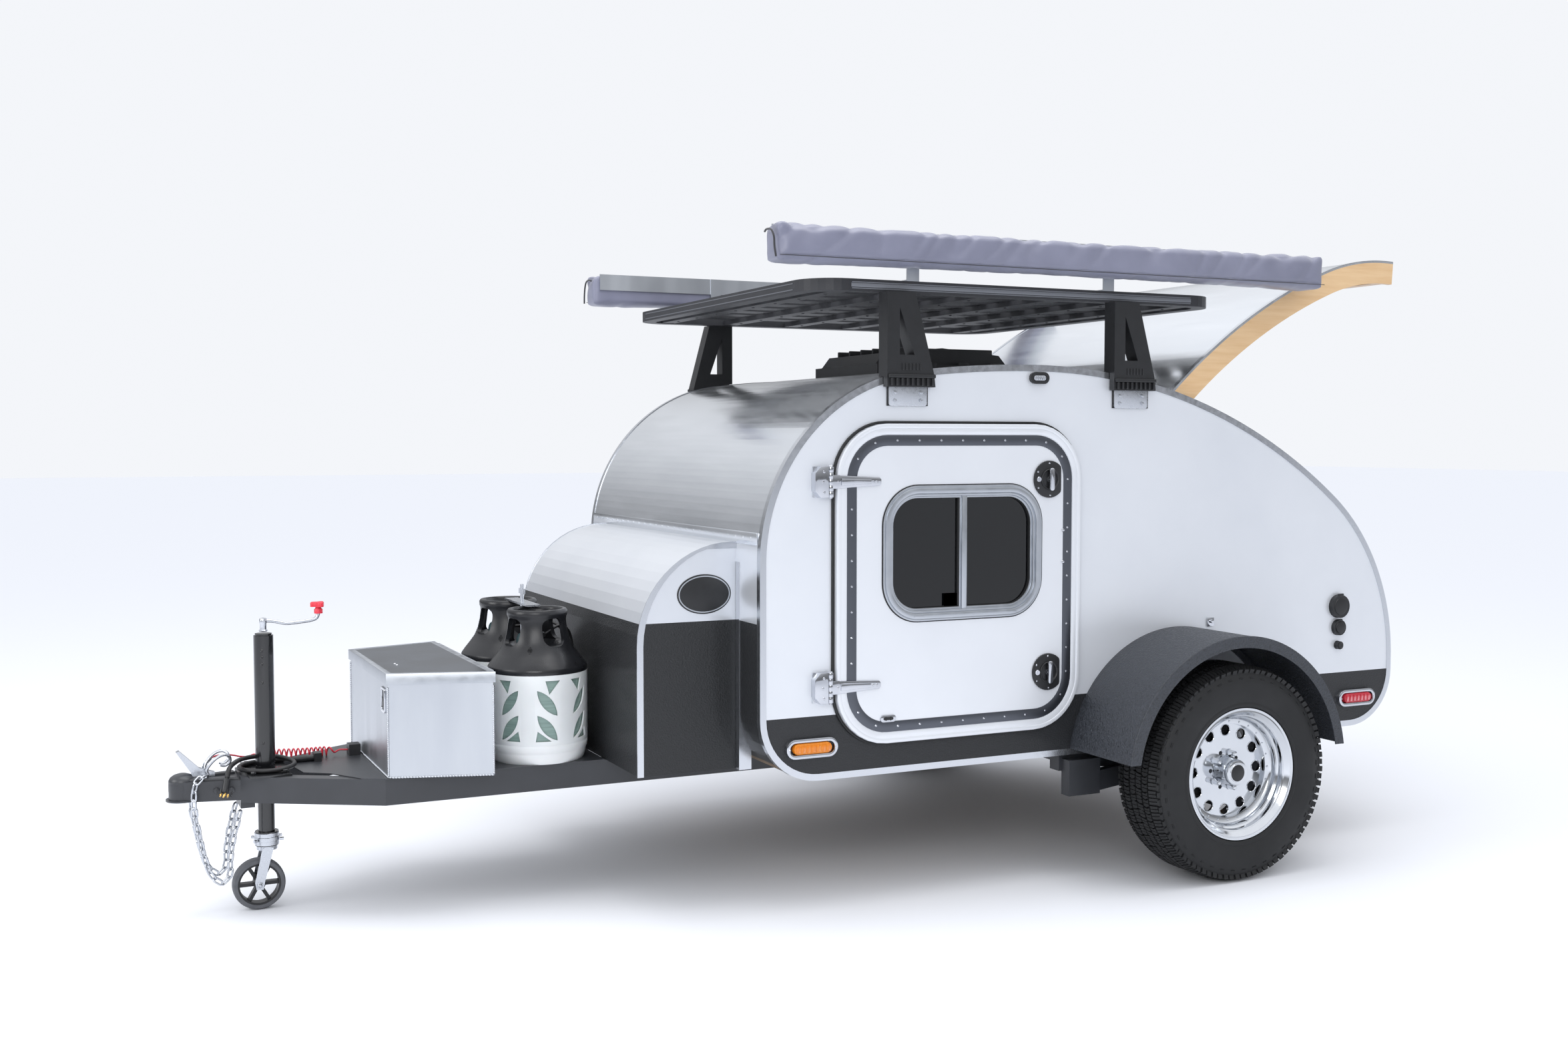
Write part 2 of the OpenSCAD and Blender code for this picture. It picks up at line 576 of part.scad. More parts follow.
counter_z = base_z + counter_rise;
board = 18;
low_x = -400;
high_x = hinge_pt[0] + 30;
shelf_z = counter_z + 300;
shelf_back = -330;
module inside() { slab(-wall_in, wall_in) polygon(outline(panel_t + proud)); }
module bulkhead() color([0.8, 0.66, 0.45]) place() intersection() {
    inside();
    union() {
        block([low_x, -half_w, rail_top + floor_t], [low_x + board, half_w, counter_z - board]);
        block([high_x, -half_w, counter_z], [high_x + board, half_w, roof_z]);
    }
}

module galley() color([0.85, 0.72, 0.5]) place() intersection() {
    inside();
    union() {
        block([cabin_back, -half_w, counter_z - board], [high_x + board, half_w, counter_z]);
        block([shelf_back, -half_w, shelf_z], [high_x, half_w, shelf_z + board]);
        for (y = [-wall_in, -wall_in / 3, wall_in / 3 - board, wall_in - board])
            block([shelf_back, y, counter_z], [high_x, y + board, shelf_z]);
    }
}

module mattress() color([0.55, 0.57, 0.62]) place()
    block([low_x + board + 5, -wall_in + 5, rail_top + floor_t + seat],
          [cabin_front - corner_r + 60, wall_in - 5, rail_top + floor_t + 100]);

module storage_box() color([0.86, 0.87, 0.89]) place() difference() {
    slab(-box_w / 2 + trim_t, box_w / 2 - trim_t) polygon(box_line(trim_t));
    slab(-box_w / 2 + trim_t + wall_t, box_w / 2 - trim_t - wall_t)
        polygon(concat([[box_back - 1, rail_top + 25]], [for (p = box_line(wall_t + trim_t)) if (p[0] > box_back) p],
                       [[box_back - 1, box_top - wall_t - trim_t]]));
    slab(-half_w, half_w) polygon(outline(proud));
}

module storage_box_trim() color([0.75, 0.76, 0.78]) place() both() difference() {
    union() {
        slab(box_w / 2 - trim_t, box_w / 2) difference() {
            polygon(box_line(0));
            translate([-trim_w, -1]) polygon([for (p = box_line(0)) [p[0], min(p[1], box_top - trim_w + 1)]]);
        }
        block([box_back, box_w / 2, rail_top], [cabin_front, box_w / 2 + 24, box_top - 60]);
    }
    slab(-half_w, half_w) polygon(outline(proud));
}

// ---- Hatch, drawn closed and then opened ----
module opened() {
    translate([hinge_pt[0], 0, hinge_pt[1]]) rotate([0, hatch_open, 0])
        translate([-hinge_pt[0], 0, -hinge_pt[1]]) children();
}
module leaf_band(a0, a1, y0, y1) {
    slab(y0, y1) polygon(band(arc(crown_c, crown_r, a0, a1, 2), arc(crown_c, crown_r - trim_t, a0, a1, 2)));
}
knuckles = 7;
knuckle_l = 2 * (hatch_half - 20) / knuckles;
leaf_a = 0.25;
leaf_slit = 0.04;
spar_gap = 1;
module knuckle_row(first, dir) {
    for (i = [first:2:knuckles - 1]) {
        y0 = -hatch_half + 20 + i * knuckle_l + 0.5;
        y1 = y0 + knuckle_l - 1;
        translate([hinge_pt[0], 0, hinge_pt[1]]) rod(knuckle_r, y0, y1);
        leaf_band(hinge_a + dir * leaf_slit, hinge_a + dir * leaf_a, y0, y1);
    }
}
module hatch_hinge() {
    leaf_band(hinge_a - 1, hinge_a - leaf_a, -hatch_half + 20, hatch_half - 20);
    knuckle_row(0, -1);
}

module hatch_spar(a0, a1, c, r) {
    slab(-hatch_half + 2, hatch_half - 2)
        polygon(band(arc(c, r - proud - hatch_skin - spar_gap, a0, a1, 2), arc(c, r - rib_d + 4, a0, a1, 2)));
}
module hatch() color([0.84, 0.85, 0.87]) place() opened()
    slab(-hatch_half, hatch_half) polygon(band(hatch_line(proud), hatch_line(hatch_skin + proud)));
module hatch_ribs() color([0.87, 0.75, 0.58]) place() opened() {
    for (y = [-hatch_half, -hatch_half / 3, hatch_half / 3 - board, hatch_half - board])
        slab(y, y + board) polygon(band(hatch_line(proud + hatch_skin), hatch_line(rib_d)));
    hatch_spar(hinge_a + 0.3, hinge_a + 1.2, crown_c, crown_r);
    hatch_spar(hatch_end_a - 4, hatch_end_a - 0.8, tail_c, tail_r);
}
module hatch_trim() color([0.72, 0.73, 0.75]) place() opened() {
    leaf_band(hinge_a + leaf_a, hinge_a + 1, -hatch_half + 20, hatch_half - 20);
    knuckle_row(1, 1);
    both() slab(hatch_half - 16, hatch_half) polygon(band(hatch_line(0), hatch_line(proud)));
}

// ---- Doors ----
module door_shape(d, r) { polygon(round_box(door_x0 + d, door_z0 + d, door_x1 - d, door_z1 - d, r)); }
module window_shape(d) {
    polygon(round_box(window_x0 + d, window_z0 + d, window_x0 + window_w - d, window_z0 + window_h - d, window_r - d));
}
module door(s) color([0.88, 0.89, 0.91]) place() side(s) difference() {
    union() {
        slab(wall_out + door_seal, door_out) door_shape(0, door_r);
        slab(wall_in, wall_out + door_seal) door_shape(door_lap + door_gap, door_r - door_lap - door_gap);
    }
    slab(wall_in - 1, door_out + 1) window_shape(10);
}
module left_door() { door(1); }
module right_door() { door(-1); }

module door_window(s) color([0.75, 0.76, 0.78]) place() side(s) {
    slab(door_out, door_out + 6) difference() {
        window_shape(0);
        window_shape(frame_w);
    }
    slab(wall_in + 4, door_out) difference() {
        window_shape(10);
        window_shape(frame_w);
    }
    block([window_x0 + window_w / 2 - 20, door_out - 8, window_z0 + frame_w - 1],
          [window_x0 + window_w / 2 + 14, door_out + 2, window_z0 + window_h - frame_w + 1]);
    color([0.1, 0.12, 0.14, 0.5]) slab(wall_out + 2, wall_out + 6) window_shape(frame_w + seat);
}
module left_door_window() { door_window(1); }
module right_door_window() { door_window(-1); }

// A hinge's knuckles lie one above another, the wall's between the door's two
knuckle_h = hinge_h / 3;
module door_hinge() for (z = [hinge_low, hinge_high]) difference() {
    union() {
        for (k = [-1, 1]) translate([hinge_x, hinge_y, z + k * knuckle_h - knuckle_h / 2 + seat])
            cylinder(r = hinge_r, h = knuckle_h - 2 * seat);
        slab(door_out, door_out + 5) polygon([[hinge_x - 12, z - hinge_h / 2 + 1], [hinge_x - 50, z - 22],
            [hinge_x - 160, z - 14], [hinge_x - 167, z], [hinge_x - 160, z + 14], [hinge_x - 50, z + 22],
            [hinge_x - 12, z + hinge_h / 2 - 1]]);
        for (k = [-1, 1]) block([hinge_x - 13, door_out, z + k * knuckle_h - knuckle_h / 2 + seat],
                                [hinge_x, door_out + 5, z + k * knuckle_h + knuckle_h / 2 - seat]);
    }
    translate([hinge_x, hinge_y, z - hinge_h]) cylinder(r = hinge_pin + 0.08, h = 2 * hinge_h);
}
module wall_leaves() for (z = [hinge_low, hinge_high]) {
    block([hinge_x + hinge_r + 3, wall_out, z - hinge_h / 2], [hinge_x + 52, wall_out + 5, z + hinge_h / 2]);
    block([hinge_x, wall_out + 0.5, z - knuckle_h / 2], [hinge_x + hinge_r + 4, wall_out + 5, z + knuckle_h / 2]);
    block([hinge_x - 3, wall_out + 1, z - knuckle_h / 2], [hinge_x + 3, hinge_y, z + knuckle_h / 2]);
    translate([hinge_x, hinge_y, z - knuckle_h / 2]) cylinder(r = hinge_r, h = knuckle_h);
    translate([hinge_x, hinge_y, z - hinge_h / 2 - 2]) cylinder(r = hinge_pin, h = hinge_h + 4);
}
module hinge_leaves() color([0.8, 0.81, 0.83]) place() {
    both() wall_leaves();
    hatch_hinge();
}

module door_latches() for (z = [hinge_low - 6, hinge_high - 2]) {
        slab(door_out, door_out + 6) polygon(concat(arc([latch_x, z], 62, 40, 320, 24), [[latch_x + 74, z - 16], [latch_x + 74, z + 16]]));
        translate([latch_x, 0, z]) rod(12, door_out + 6, door_out + 20);
        translate([latch_x, door_out + 24, z - 45]) cylinder(r = 9, h = 90);
    }
module door_fittings(s) color([0.8, 0.81, 0.83]) place() side(s) {
    door_hinge();
    color([0.08, 0.08, 0.09]) door_latches();
}
module left_door_fittings() { door_fittings(1); }
module right_door_fittings() { door_fittings(-1); }

// ---- Roof ----
module roof_vent() color([0.1, 0.1, 0.11]) place() difference() {
    union() {
        block([320, -230, roof_z - 40], [870, 230, roof_z + 22]);
        slab(-200, 200) polygon([[333, roof_z + 20], [862, roof_z + 20], [830, roof_z + 60], [600, roof_z + 81], [370, roof_z + 60]]);
    }
    slab(-half_w, half_w) polygon(outline(proud));
}

module rack_platform() color([0.13, 0.13, 0.14]) place() {
    rail = 48;
    translate([0, 0, rack_z]) linear_extrude(rack_t) difference() {
        polygon(round_box(rack_x0, -rack_half, rack_x1, rack_half, 120));
        polygon(round_box(rack_x0 + rail, -rack_half + rail, rack_x1 - rail, rack_half - rail, 72));
    }
    for (i = [0:5]) translate([rack_x0 + 120 + i * (rack_len - 240) / 5, 0, 0])
        block([-26, -rack_half + rail - 5, rack_z + 2], [26, rack_half - rail + 5, rack_z + 18]);
    for (i = [0:8]) translate([0, (i - 4) * (rack_w - 160) / 9, 0])
        block([rack_x0 + rail - 5, -45, rack_z + 18], [rack_x1 - rail + 5, 45, rack_z + 30]);
}

module leg_shape() {
    difference() {
        polygon([[0, 0], [-leg_w, 0], [-leg_w + 5, 40], [-leg_w + 70, rack_z - roof_z + 76], [0, rack_z - roof_z + 76]]);
        polygon([[-42, 95], [-92, 95], [-42, rack_z - roof_z + 30]]);
    }
}
foot_z = roof_z - 76;
module rack_legs() color([0.1, 0.1, 0.11]) place() for (x = leg_x, s = [-1, 1]) {
    difference() {
        side(s) slab(leg_in, leg_out) translate([x + s * leg_w / 2, foot_z]) {
            if (s > 0) leg_shape();
            else mirror([1, 0]) leg_shape();
        }
        slab(-plate_out, plate_out) polygon(outline(-1));
    }
    color("silver") side(s) block([x - 70, wall_out, foot_z - 56], [x + 70, plate_out, foot_z + 5]);
}

module awning_bags() color([0.45, 0.46, 0.52]) place() both() translate([awning_x0, 0, 0]) rotate([90, 0, 90])
    linear_extrude(awning_len) polygon(round_box(awning_in, awning_z, awning_in + awning_w, awning_z + awning_h, 16));

module awning_rails() color([0.8, 0.81, 0.83]) place() both() {
    block([awning_x0 + 30, awning_in - 4, awning_z + 62], [awning_x1 - 30, awning_in - seat, awning_z + awning_h - 5]);
    for (x = strap_x) {
        block([x - 21, awning_in - 8, rack_z + rack_t], [x + 21, awning_in - 4, awning_z + awning_h - 5]);
        block([x - 21, awning_in - 60, rack_z + rack_t], [x + 21, awning_in - 4, rack_z + rack_t + 4]);
    }
}

// ---- Lights and ports ----
marker_z = base_z + 100;
module oval(y0, y1, x, z, w, h) {
    slab(y0, y1) polygon(concat(arc([x + w / 2 - h / 2, z], h / 2, -90, 90, 10), arc([x - w / 2 + h / 2, z], h / 2, 90, 270, 10)));
}
module side_markers() color("orange") place() both() for (x = [cabin_front - 165, cabin_back + 167])
    oval(wall_out, wall_out + 18, x, marker_z, 158, 47);
module rear_lights() color([0.75, 0.1, 0.1]) place() {
    back_x = cabin_back + proud;
    both() translate([back_x - 22, half_w - 130, tail_c[1] - 60]) cube([22, 56, 100]);
    translate([back_x - 6, -150, tail_c[1] - 90]) cube([6, 300, 150]);
}
port_x = cabin_back + 254;
module side_ports() color([0.1, 0.1, 0.11]) place() {
    translate([port_x, 0, base_z + 425]) rod(40, wall_out, wall_out + 16);
    translate([port_x, 0, base_z + 351]) rod(27, wall_out, wall_out + 14);
    translate([port_x, 0, base_z + 289]) rod(14, wall_out, wall_out + 16);
    oval(wall_out, wall_out + 10, 590, roof_z - 41, 67, 34);
}

// ---- Chains and cords ----
module safety_chains() color([0.75, 0.76, 0.78]) place() both() sweep(chain_pts, chain_d / 2, 8);
module breakaway_cord() color("crimson") place() {
    sweep(coil_pts, coil_d / 2, 12);
    sweep([for (p = lead_pts) p], lead_d / 2, 8);
}
module plug_cable() color([0.06, 0.06, 0.07]) place() sweep(cable_pts, cable_d / 2, 10);
module cord_fittings() color([0.09, 0.09, 0.1]) place() {
    block([2524, -137, deck_z], [2559, -93, deck_z + 34]);
    translate([2660, -60, 428]) rotate([0, 90, 0]) cylinder(r = 10, h = 45);
    block([2650, -80, rail_top + sheet], [2672, -40, 444]);
}
cable_end = cable_pts[len(cable_pts) - 1];
cable_dir = unit(cable_end - cable_pts[len(cable_pts) - 2]);
module trailer_plug() color([0.1, 0.1, 0.11]) place()
    translate(cable_end + seat * cable_dir) rotate([0, acos(cable_dir[2]), atan2(cable_dir[1], cable_dir[0])])
        cylinder(r = plug_r, h = plug_len);

chassis_frame();
suspension();
left_hub();
right_hub();
left_rim();
right_rim();
left_tyre();
right_tyre();
left_fender();
right_fender();
tongue_deck();
coupler();
coupler_latch();
jack_tube();
jack_crank();
jack_leg();
caster_fork();
caster_wheel();
gas_bottles();
gas_collars();
gas_valves();
bottle_clamp();
tongue_box();
tongue_box_lid();
cabin_floor();
left_wall();
right_wall();
edge_trim();
front_wall();
roof();
rear_panel();
bulkhead();
galley();
mattress();
storage_box();
storage_box_trim();
hatch();
hatch_ribs();
hatch_trim();
left_door();
right_door();
left_door_window();
right_door_window();
hinge_leaves();
left_door_fittings();
right_door_fittings();
roof_vent();
rack_platform();
rack_legs();
awning_bags();
awning_rails();
side_markers();
rear_lights();
side_ports();
safety_chains();
breakaway_cord();
plug_cable();
cord_fittings();
trailer_plug();
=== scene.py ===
import math
import bmesh
import bpy
from mathutils import Matrix, Vector, noise


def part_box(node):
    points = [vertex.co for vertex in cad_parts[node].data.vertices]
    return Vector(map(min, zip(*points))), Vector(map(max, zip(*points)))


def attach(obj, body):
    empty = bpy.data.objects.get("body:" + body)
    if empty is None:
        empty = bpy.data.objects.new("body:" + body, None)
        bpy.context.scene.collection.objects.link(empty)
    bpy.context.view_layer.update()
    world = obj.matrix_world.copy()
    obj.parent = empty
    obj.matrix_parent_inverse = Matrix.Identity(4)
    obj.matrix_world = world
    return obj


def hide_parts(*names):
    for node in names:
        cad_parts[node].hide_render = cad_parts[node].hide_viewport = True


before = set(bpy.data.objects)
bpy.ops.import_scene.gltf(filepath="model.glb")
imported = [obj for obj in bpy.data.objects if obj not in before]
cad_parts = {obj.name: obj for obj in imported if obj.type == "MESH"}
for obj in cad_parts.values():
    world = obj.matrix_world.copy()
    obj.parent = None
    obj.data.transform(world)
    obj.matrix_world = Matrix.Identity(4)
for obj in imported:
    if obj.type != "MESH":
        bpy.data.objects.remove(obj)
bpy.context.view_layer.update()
mm = 0.001
wallFace = 0.7602      # how far out pieces on the side walls and on the doors start
doorFace = 0.7795


def corners(node):
    low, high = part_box(node)
    return Vector(low), Vector(high)


def middle(node):
    low, high = corners(node)
    return (low + high) / 2


studio = {
    "cameraAt": (2.3375, 4.87, 1.397),
    "turn": 25.446,       # degrees the camera looks back along the trailer
    "tilt": 3.02,         # degrees it looks down
    "lens": 36.15,
    "floor": "EDEFF4",
    "backdrop": 0.98,
    "roomLow": 0.25,      # the room's light at the horizon, and overhead
    "roomHigh": 1.25,
}


def linear(code):
    parts = [int(code[i:i + 2], 16) / 255 for i in (0, 2, 4)]
    return tuple(c / 12.92 if c <= 0.04045 else ((c + 0.055) / 1.055) ** 2.4 for c in parts) + (1.0,)


def addNode(tree, kind, inputs=None, **settings):
    node = tree.nodes.new(kind)
    for name, value in settings.items():
        setattr(node, name, value)
    for name, value in (inputs or {}).items():
        if isinstance(value, bpy.types.NodeSocket):
            tree.links.new(value, node.inputs[name])
        else:
            node.inputs[name].default_value = value
    return node


def linked(name, data):
    piece = bpy.data.objects.new(name, data)
    bpy.context.scene.collection.objects.link(piece)
    return piece


def meshOf(bm, name):
    mesh = bpy.data.meshes.new(name)
    bm.to_mesh(mesh)
    bm.free()
    return mesh


def makeCamera():
    turn, tilt = math.radians(studio["turn"]), math.radians(studio["tilt"])
    ahead = Vector((-math.sin(turn) * math.cos(tilt), -math.cos(turn) * math.cos(tilt), -math.sin(tilt)))
    data = bpy.data.cameras.new("camera")
    data.lens = studio["lens"]
    data.sensor_width = 36
    camera = linked("camera", data)
    camera.location = studio["cameraAt"]
    camera.rotation_euler = ahead.to_track_quat("-Z", "Y").to_euler()
    bpy.context.scene.camera = camera


def makeLight(name, place, target, size, power):
    data = bpy.data.lights.new(name, "AREA")
    data.shape = "RECTANGLE"
    data.size, data.size_y = size
    data.energy = power
    lamp = linked(name, data)
    lamp.location = place
    lamp.rotation_euler = (Vector(target) - Vector(place)).to_track_quat("-Z", "Y").to_euler()


def makeStudio():
    scene = bpy.context.scene
    world = bpy.data.worlds.new("studio")
    world.use_nodes = True
    tree = world.node_tree
    background = tree.nodes["Background"]
    background.inputs["Color"].default_value = linear("F6F8FC")
    # the room is darker towards the horizon, which gives the bright metal its dark edges
    where = addNode(tree, "ShaderNodeTexCoord")
    split = addNode(tree, "ShaderNodeSeparateXYZ", {"Vector": where.outputs["Generated"]})
    room = addNode(tree, "ShaderNodeMapRange",
                   {"Value": split.outputs["Z"], "From Min": 0.03, "From Max": 0.6,
                                                "To Min": studio["roomLow"], "To Max": studio["roomHigh"]})
    ray = addNode(tree, "ShaderNodeLightPath")
    glow = addNode(tree, "ShaderNodeMix",
                   {"Factor": ray.outputs["Is Camera Ray"], 2: room.outputs["Result"],
                                           3: studio["backdrop"]}, data_type="FLOAT")
    tree.links.new(glow.outputs[0], background.inputs["Strength"])
    scene.world = world
    scene.view_settings.view_transform = "Standard"
    floor = bmesh.new()
    bmesh.ops.create_grid(floor, x_segments=1, y_segments=1, size=60)
    mesh = meshOf(floor, "floor")
    paper = bpy.data.materials.new("studio paper")
    paper.use_nodes = True
    shader = paper.node_tree.nodes["Principled BSDF"]
    shader.inputs["Base Color"].default_value = linear(studio["floor"])
    shader.inputs["Roughness"].default_value = 0.9
    shader.inputs["Specular IOR Level"].default_value = 0.1
    mesh.materials.append(paper)
    ground = linked("floor", mesh)
    ground.location.z = -0.001
    makeLight("overhead", (0.3, 0.5, 5.0), (0.0, 0.0, 0.8), (5.0, 3.0), 120)
    makeLight("sideBox", (3.5, 6.0, 3.2), (0.0, 0.6, 0.8), (3.5, 2.5), 110)
    makeLight("noseBox", (6.0, 0.5, 2.6), (1.0, 0.0, 0.7), (2.5, 2.0), 70)


makeCamera()
makeStudio()
print("stage: camera, floor and light")


def rounded(bm, edges, offset, segments=2):
    bmesh.ops.bevel(bm, geom=edges, offset=offset, affect="EDGES", segments=segments, profile=0.5,
                    material=-1)


def box(bm, low, high, bevel=0.0, segments=2):
    low, high = Vector(low), Vector(high)
    made = bmesh.ops.create_cube(bm, size=1)["verts"]
    bmesh.ops.scale(bm, vec=high - low, verts=made)
    bmesh.ops.translate(bm, vec=(low + high) / 2, verts=made)
    if bevel:
        edges = list({e for v in made for e in v.link_edges})
        rounded(bm, edges, bevel, segments)
    return made


def block(bm, size, place):
    # a cube scaled to a size, then turned and moved
    made = bmesh.ops.create_cube(bm, size=1)["verts"]
    bmesh.ops.scale(bm, vec=size, verts=made)
    bmesh.ops.transform(bm, matrix=place, verts=made)


def stamp(bm, mesh, place):
    # a mesh added to bm, turned and moved
    before = len(bm.verts)
    bm.from_mesh(mesh)
    bm.verts.ensure_lookup_table()
    bmesh.ops.transform(bm, matrix=place, verts=bm.verts[before:])


def baked(piece):
    # the piece's mesh as its modifiers leave it
    return bpy.data.meshes.new_from_object(piece.evaluated_get(bpy.context.evaluated_depsgraph_get()))


def turnTo(direction):
    return Vector(direction).normalized().to_track_quat("Z", "Y").to_matrix().to_4x4()


def barrel(bm, start, end, r1, r2=None, sides=24, bevel=0.0):
    start, end = Vector(start), Vector(end)
    place = Matrix.Translation((start + end) / 2) @ turnTo(end - start)
    made = bmesh.ops.create_cone(bm, cap_ends=True, segments=sides, radius1=r1,
                                 radius2=r1 if r2 is None else r2,
                                 depth=(end - start).length, matrix=place)["verts"]
    if bevel:
        rims = [e for e in {e for v in made for e in v.link_edges}
                if any(len(f.verts) == sides for f in e.link_faces)]
        rounded(bm, rims, bevel)
    return made


def dome(bm, centre, normal, radius, height, sides=10):
    place = Matrix.Translation(centre) @ turnTo(normal) @ Matrix.Diagonal((radius, radius, height, 1))
    bmesh.ops.create_uvsphere(bm, u_segments=sides, v_segments=4, radius=1, matrix=place)


def lathe(bm, profile, centre, axis, steps=64):
    # profile: (radius, distance along the axis), open or closed, spun right round
    centre, axis = Vector(centre), Vector(axis).normalized()
    out = Vector((0, 0, 1)) if abs(axis.z) < 0.9 else Vector((1, 0, 0))
    chain = [bm.verts.new(centre + out * r + axis * d) for r, d in profile]
    edges = [bm.edges.new(pair) for pair in zip(chain, chain[1:])]
    bmesh.ops.spin(bm, geom=chain + edges, cent=centre, axis=axis, angle=math.tau, steps=steps,
                   use_merge=True)


def loopOf(bm, points):
    chain = [bm.verts.new(p) for p in points]
    return chain, [bm.edges.new((a, b)) for a, b in zip(chain, chain[1:] + chain[:1])]


def slabOf(bm, points, depth, bevel=0.0):
    # a flat face on the points, drawn out by the vector depth
    face = bm.faces.new([bm.verts.new(p) for p in points])
    grown = bmesh.ops.extrude_face_region(bm, geom=[face])["geom"]
    top = [g for g in grown if isinstance(g, bmesh.types.BMVert)]
    bmesh.ops.translate(bm, vec=depth, verts=top)
    if bevel:
        edges = [e for e in {e for v in top for e in v.link_edges} if all(v in top for v in e.verts)]
        rounded(bm, edges, bevel)


def ringOf(bm, outer, inner, depth, bevel=0.0):
    # a flat ring between two loops of points, drawn out by the vector depth
    edges = loopOf(bm, outer)[1] + loopOf(bm, inner)[1]
    faces = bmesh.ops.bridge_loops(bm, edges=edges)["faces"]
    grown = bmesh.ops.extrude_face_region(bm, geom=faces)["geom"]
    top = [g for g in grown if isinstance(g, bmesh.types.BMVert)]
    bmesh.ops.translate(bm, vec=depth, verts=top)
    if bevel:
        rims = [e for e in {e for v in top for e in v.link_edges}
                if all(v in top for v in e.verts) and any(f not in grown for f in e.link_faces)]
        rounded(bm, rims, bevel)


def roundedBox(x0, z0, x1, z1, radius, steps=8):
    # corners of a rounded rectangle, as (x, z)
    points = []
    for x, z, first in ((x1 - radius, z0 + radius, -90), (x1 - radius, z1 - radius, 0),
                        (x0 + radius, z1 - radius, 90), (x0 + radius, z0 + radius, 180)):
        for i in range(steps + 1):
            a = math.radians(first + 90 * i / steps)
            points.append((x + radius * math.cos(a), z + radius * math.sin(a)))
    return points


def ovalOf(x, z, width, height, steps=12):
    r, half = height / 2, (width - height) / 2
    points = []
    for side, first in ((1, -90), (-1, 90)):
        for i in range(steps + 1):
            a = math.radians(first + 180 * i / steps)
            points.append((x + side * half + r * math.cos(a), z + r * math.sin(a)))
    return points


def atY(points, y):
    return [Vector((x, y, z)) for x, z in points]


def alongLoop(points, count):
    # count places, evenly spaced round a closed loop
    steps = [(b - a).length for a, b in zip(points, points[1:] + points[:1])]
    total, found = sum(steps), []
    for k in range(count):
        want, i = total * (k + 0.5) / count, 0
        while want > steps[i]:
            want -= steps[i]
            i += 1
        found.append(points[i].lerp(points[(i + 1) % len(points)], want / steps[i]))
    return found


def finishPiece(bm, name, finish, body, angle=35, replaces=(), mirrored=False):
    if mirrored:
        bmesh.ops.scale(bm, vec=(1, -1, 1), verts=bm.verts)
    bmesh.ops.remove_doubles(bm, verts=bm.verts, dist=0.00002)
    bmesh.ops.recalc_face_normals(bm, faces=bm.faces)
    mesh = meshOf(bm, name)
    mesh.materials.append(finishes[finish])
    mesh.shade_smooth()
    mesh.set_sharp_from_angle(angle=math.radians(angle))
    piece = linked(name, mesh)
    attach(piece, body)
    if replaces:
        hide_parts(*replaces)
    return piece


def bothSides(build, name, finish, leftBody, rightBody, angle=35, replaced=None):
    for side, label, body in ((1, "left", leftBody), (-1, "right", rightBody)):
        bm = bmesh.new()
        build(bm)
        gone = (replaced.format(label),) if replaced else ()
        finishPiece(bm, label + name, finish, body, angle, gone, mirrored=side < 0)


def curvePiece(name, points, radius, finish, body, cyclic=False, bezier=False):
    # a round wire or tube along the points, or along the smooth curve through them
    data = bpy.data.curves.new(name, "CURVE")
    data.dimensions = "3D"
    data.resolution_u = 6
    data.bevel_depth = radius
    data.bevel_resolution = 3
    data.use_fill_caps = True
    line = data.splines.new("BEZIER" if bezier else "POLY")
    spots = line.bezier_points if bezier else line.points
    spots.add(len(points) - 1)
    for spot, place in zip(spots, points):
        spot.co = place if bezier else (*place, 1)
        if bezier:
            spot.handle_left_type = spot.handle_right_type = "AUTO"
    line.use_cyclic_u = cyclic
    line.use_smooth = True
    data.materials.append(finishes[finish])
    piece = linked(name, data)
    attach(piece, body)
    return piece


def smoothLine(points, steps):
    # a Catmull-Rom line through the points
    points = [Vector(p) for p in points]
    ends = [points[0] * 2 - points[1]] + points + [points[-1] * 2 - points[-2]]
    line = []
    for a, b, c, d in zip(ends, ends[1:], ends[2:], ends[3:]):
        for i in range(steps):
            t = i / steps
            line.append(0.5 * (2 * b + (c - a) * t + (2 * a - 5 * b + 4 * c - d) * t * t
                               + (3 * b - a - 3 * c + d) * t * t * t))
    return line + [points[-1]]


def lengthOf(points):
    return sum((b - a).length for a, b in zip(points, points[1:]))


finishes = {}


even = (1, 1, 1)


def placed(tree, stretch=even):
    # object coordinates, in metres, scaled along each axis
    where = addNode(tree, "ShaderNodeTexCoord")
    moved = addNode(tree, "ShaderNodeMapping", {"Vector": where.outputs["Object"], "Scale": stretch})
    return moved.outputs["Vector"]


def variedTone(tree, shader, stretch, scale, dark, light, rough=None, detail=4.0):
    # colour, and roughness if given, drift between two values with a noise
    pattern = addNode(tree, "ShaderNodeTexNoise",
                      {"Vector": placed(tree, stretch), "Scale": scale, "Detail": detail})
    tone = addNode(tree, "ShaderNodeMix",
                   {"Factor": pattern.outputs["Fac"], 6: linear(dark), 7: linear(light)}, data_type="RGBA")
    tree.links.new(tone.outputs[2], shader.inputs["Base Color"])
    if rough:
        spread = addNode(tree, "ShaderNodeMapRange",
                         {"Value": pattern.outputs["Fac"], "From Min": 0.3, "From Max": 0.7,
                                                      "To Min": rough[0], "To Max": rough[1]})
        tree.links.new(spread.outputs["Result"], shader.inputs["Roughness"])
    return tone


def grained(tree, shader, size, depth, stretch=even, strength=1.0, detail=2.0):
    # a raised grain: size is the width of one grain in metres, depth its height
    pattern = addNode(tree, "ShaderNodeTexNoise",
                      {"Vector": placed(tree, stretch), "Scale": 1 / size, "Detail": detail})
    bump = addNode(tree, "ShaderNodeBump",
                   {"Height": pattern.outputs["Fac"], "Distance": depth, "Strength": strength})
    tree.links.new(bump.outputs["Normal"], shader.inputs["Normal"])


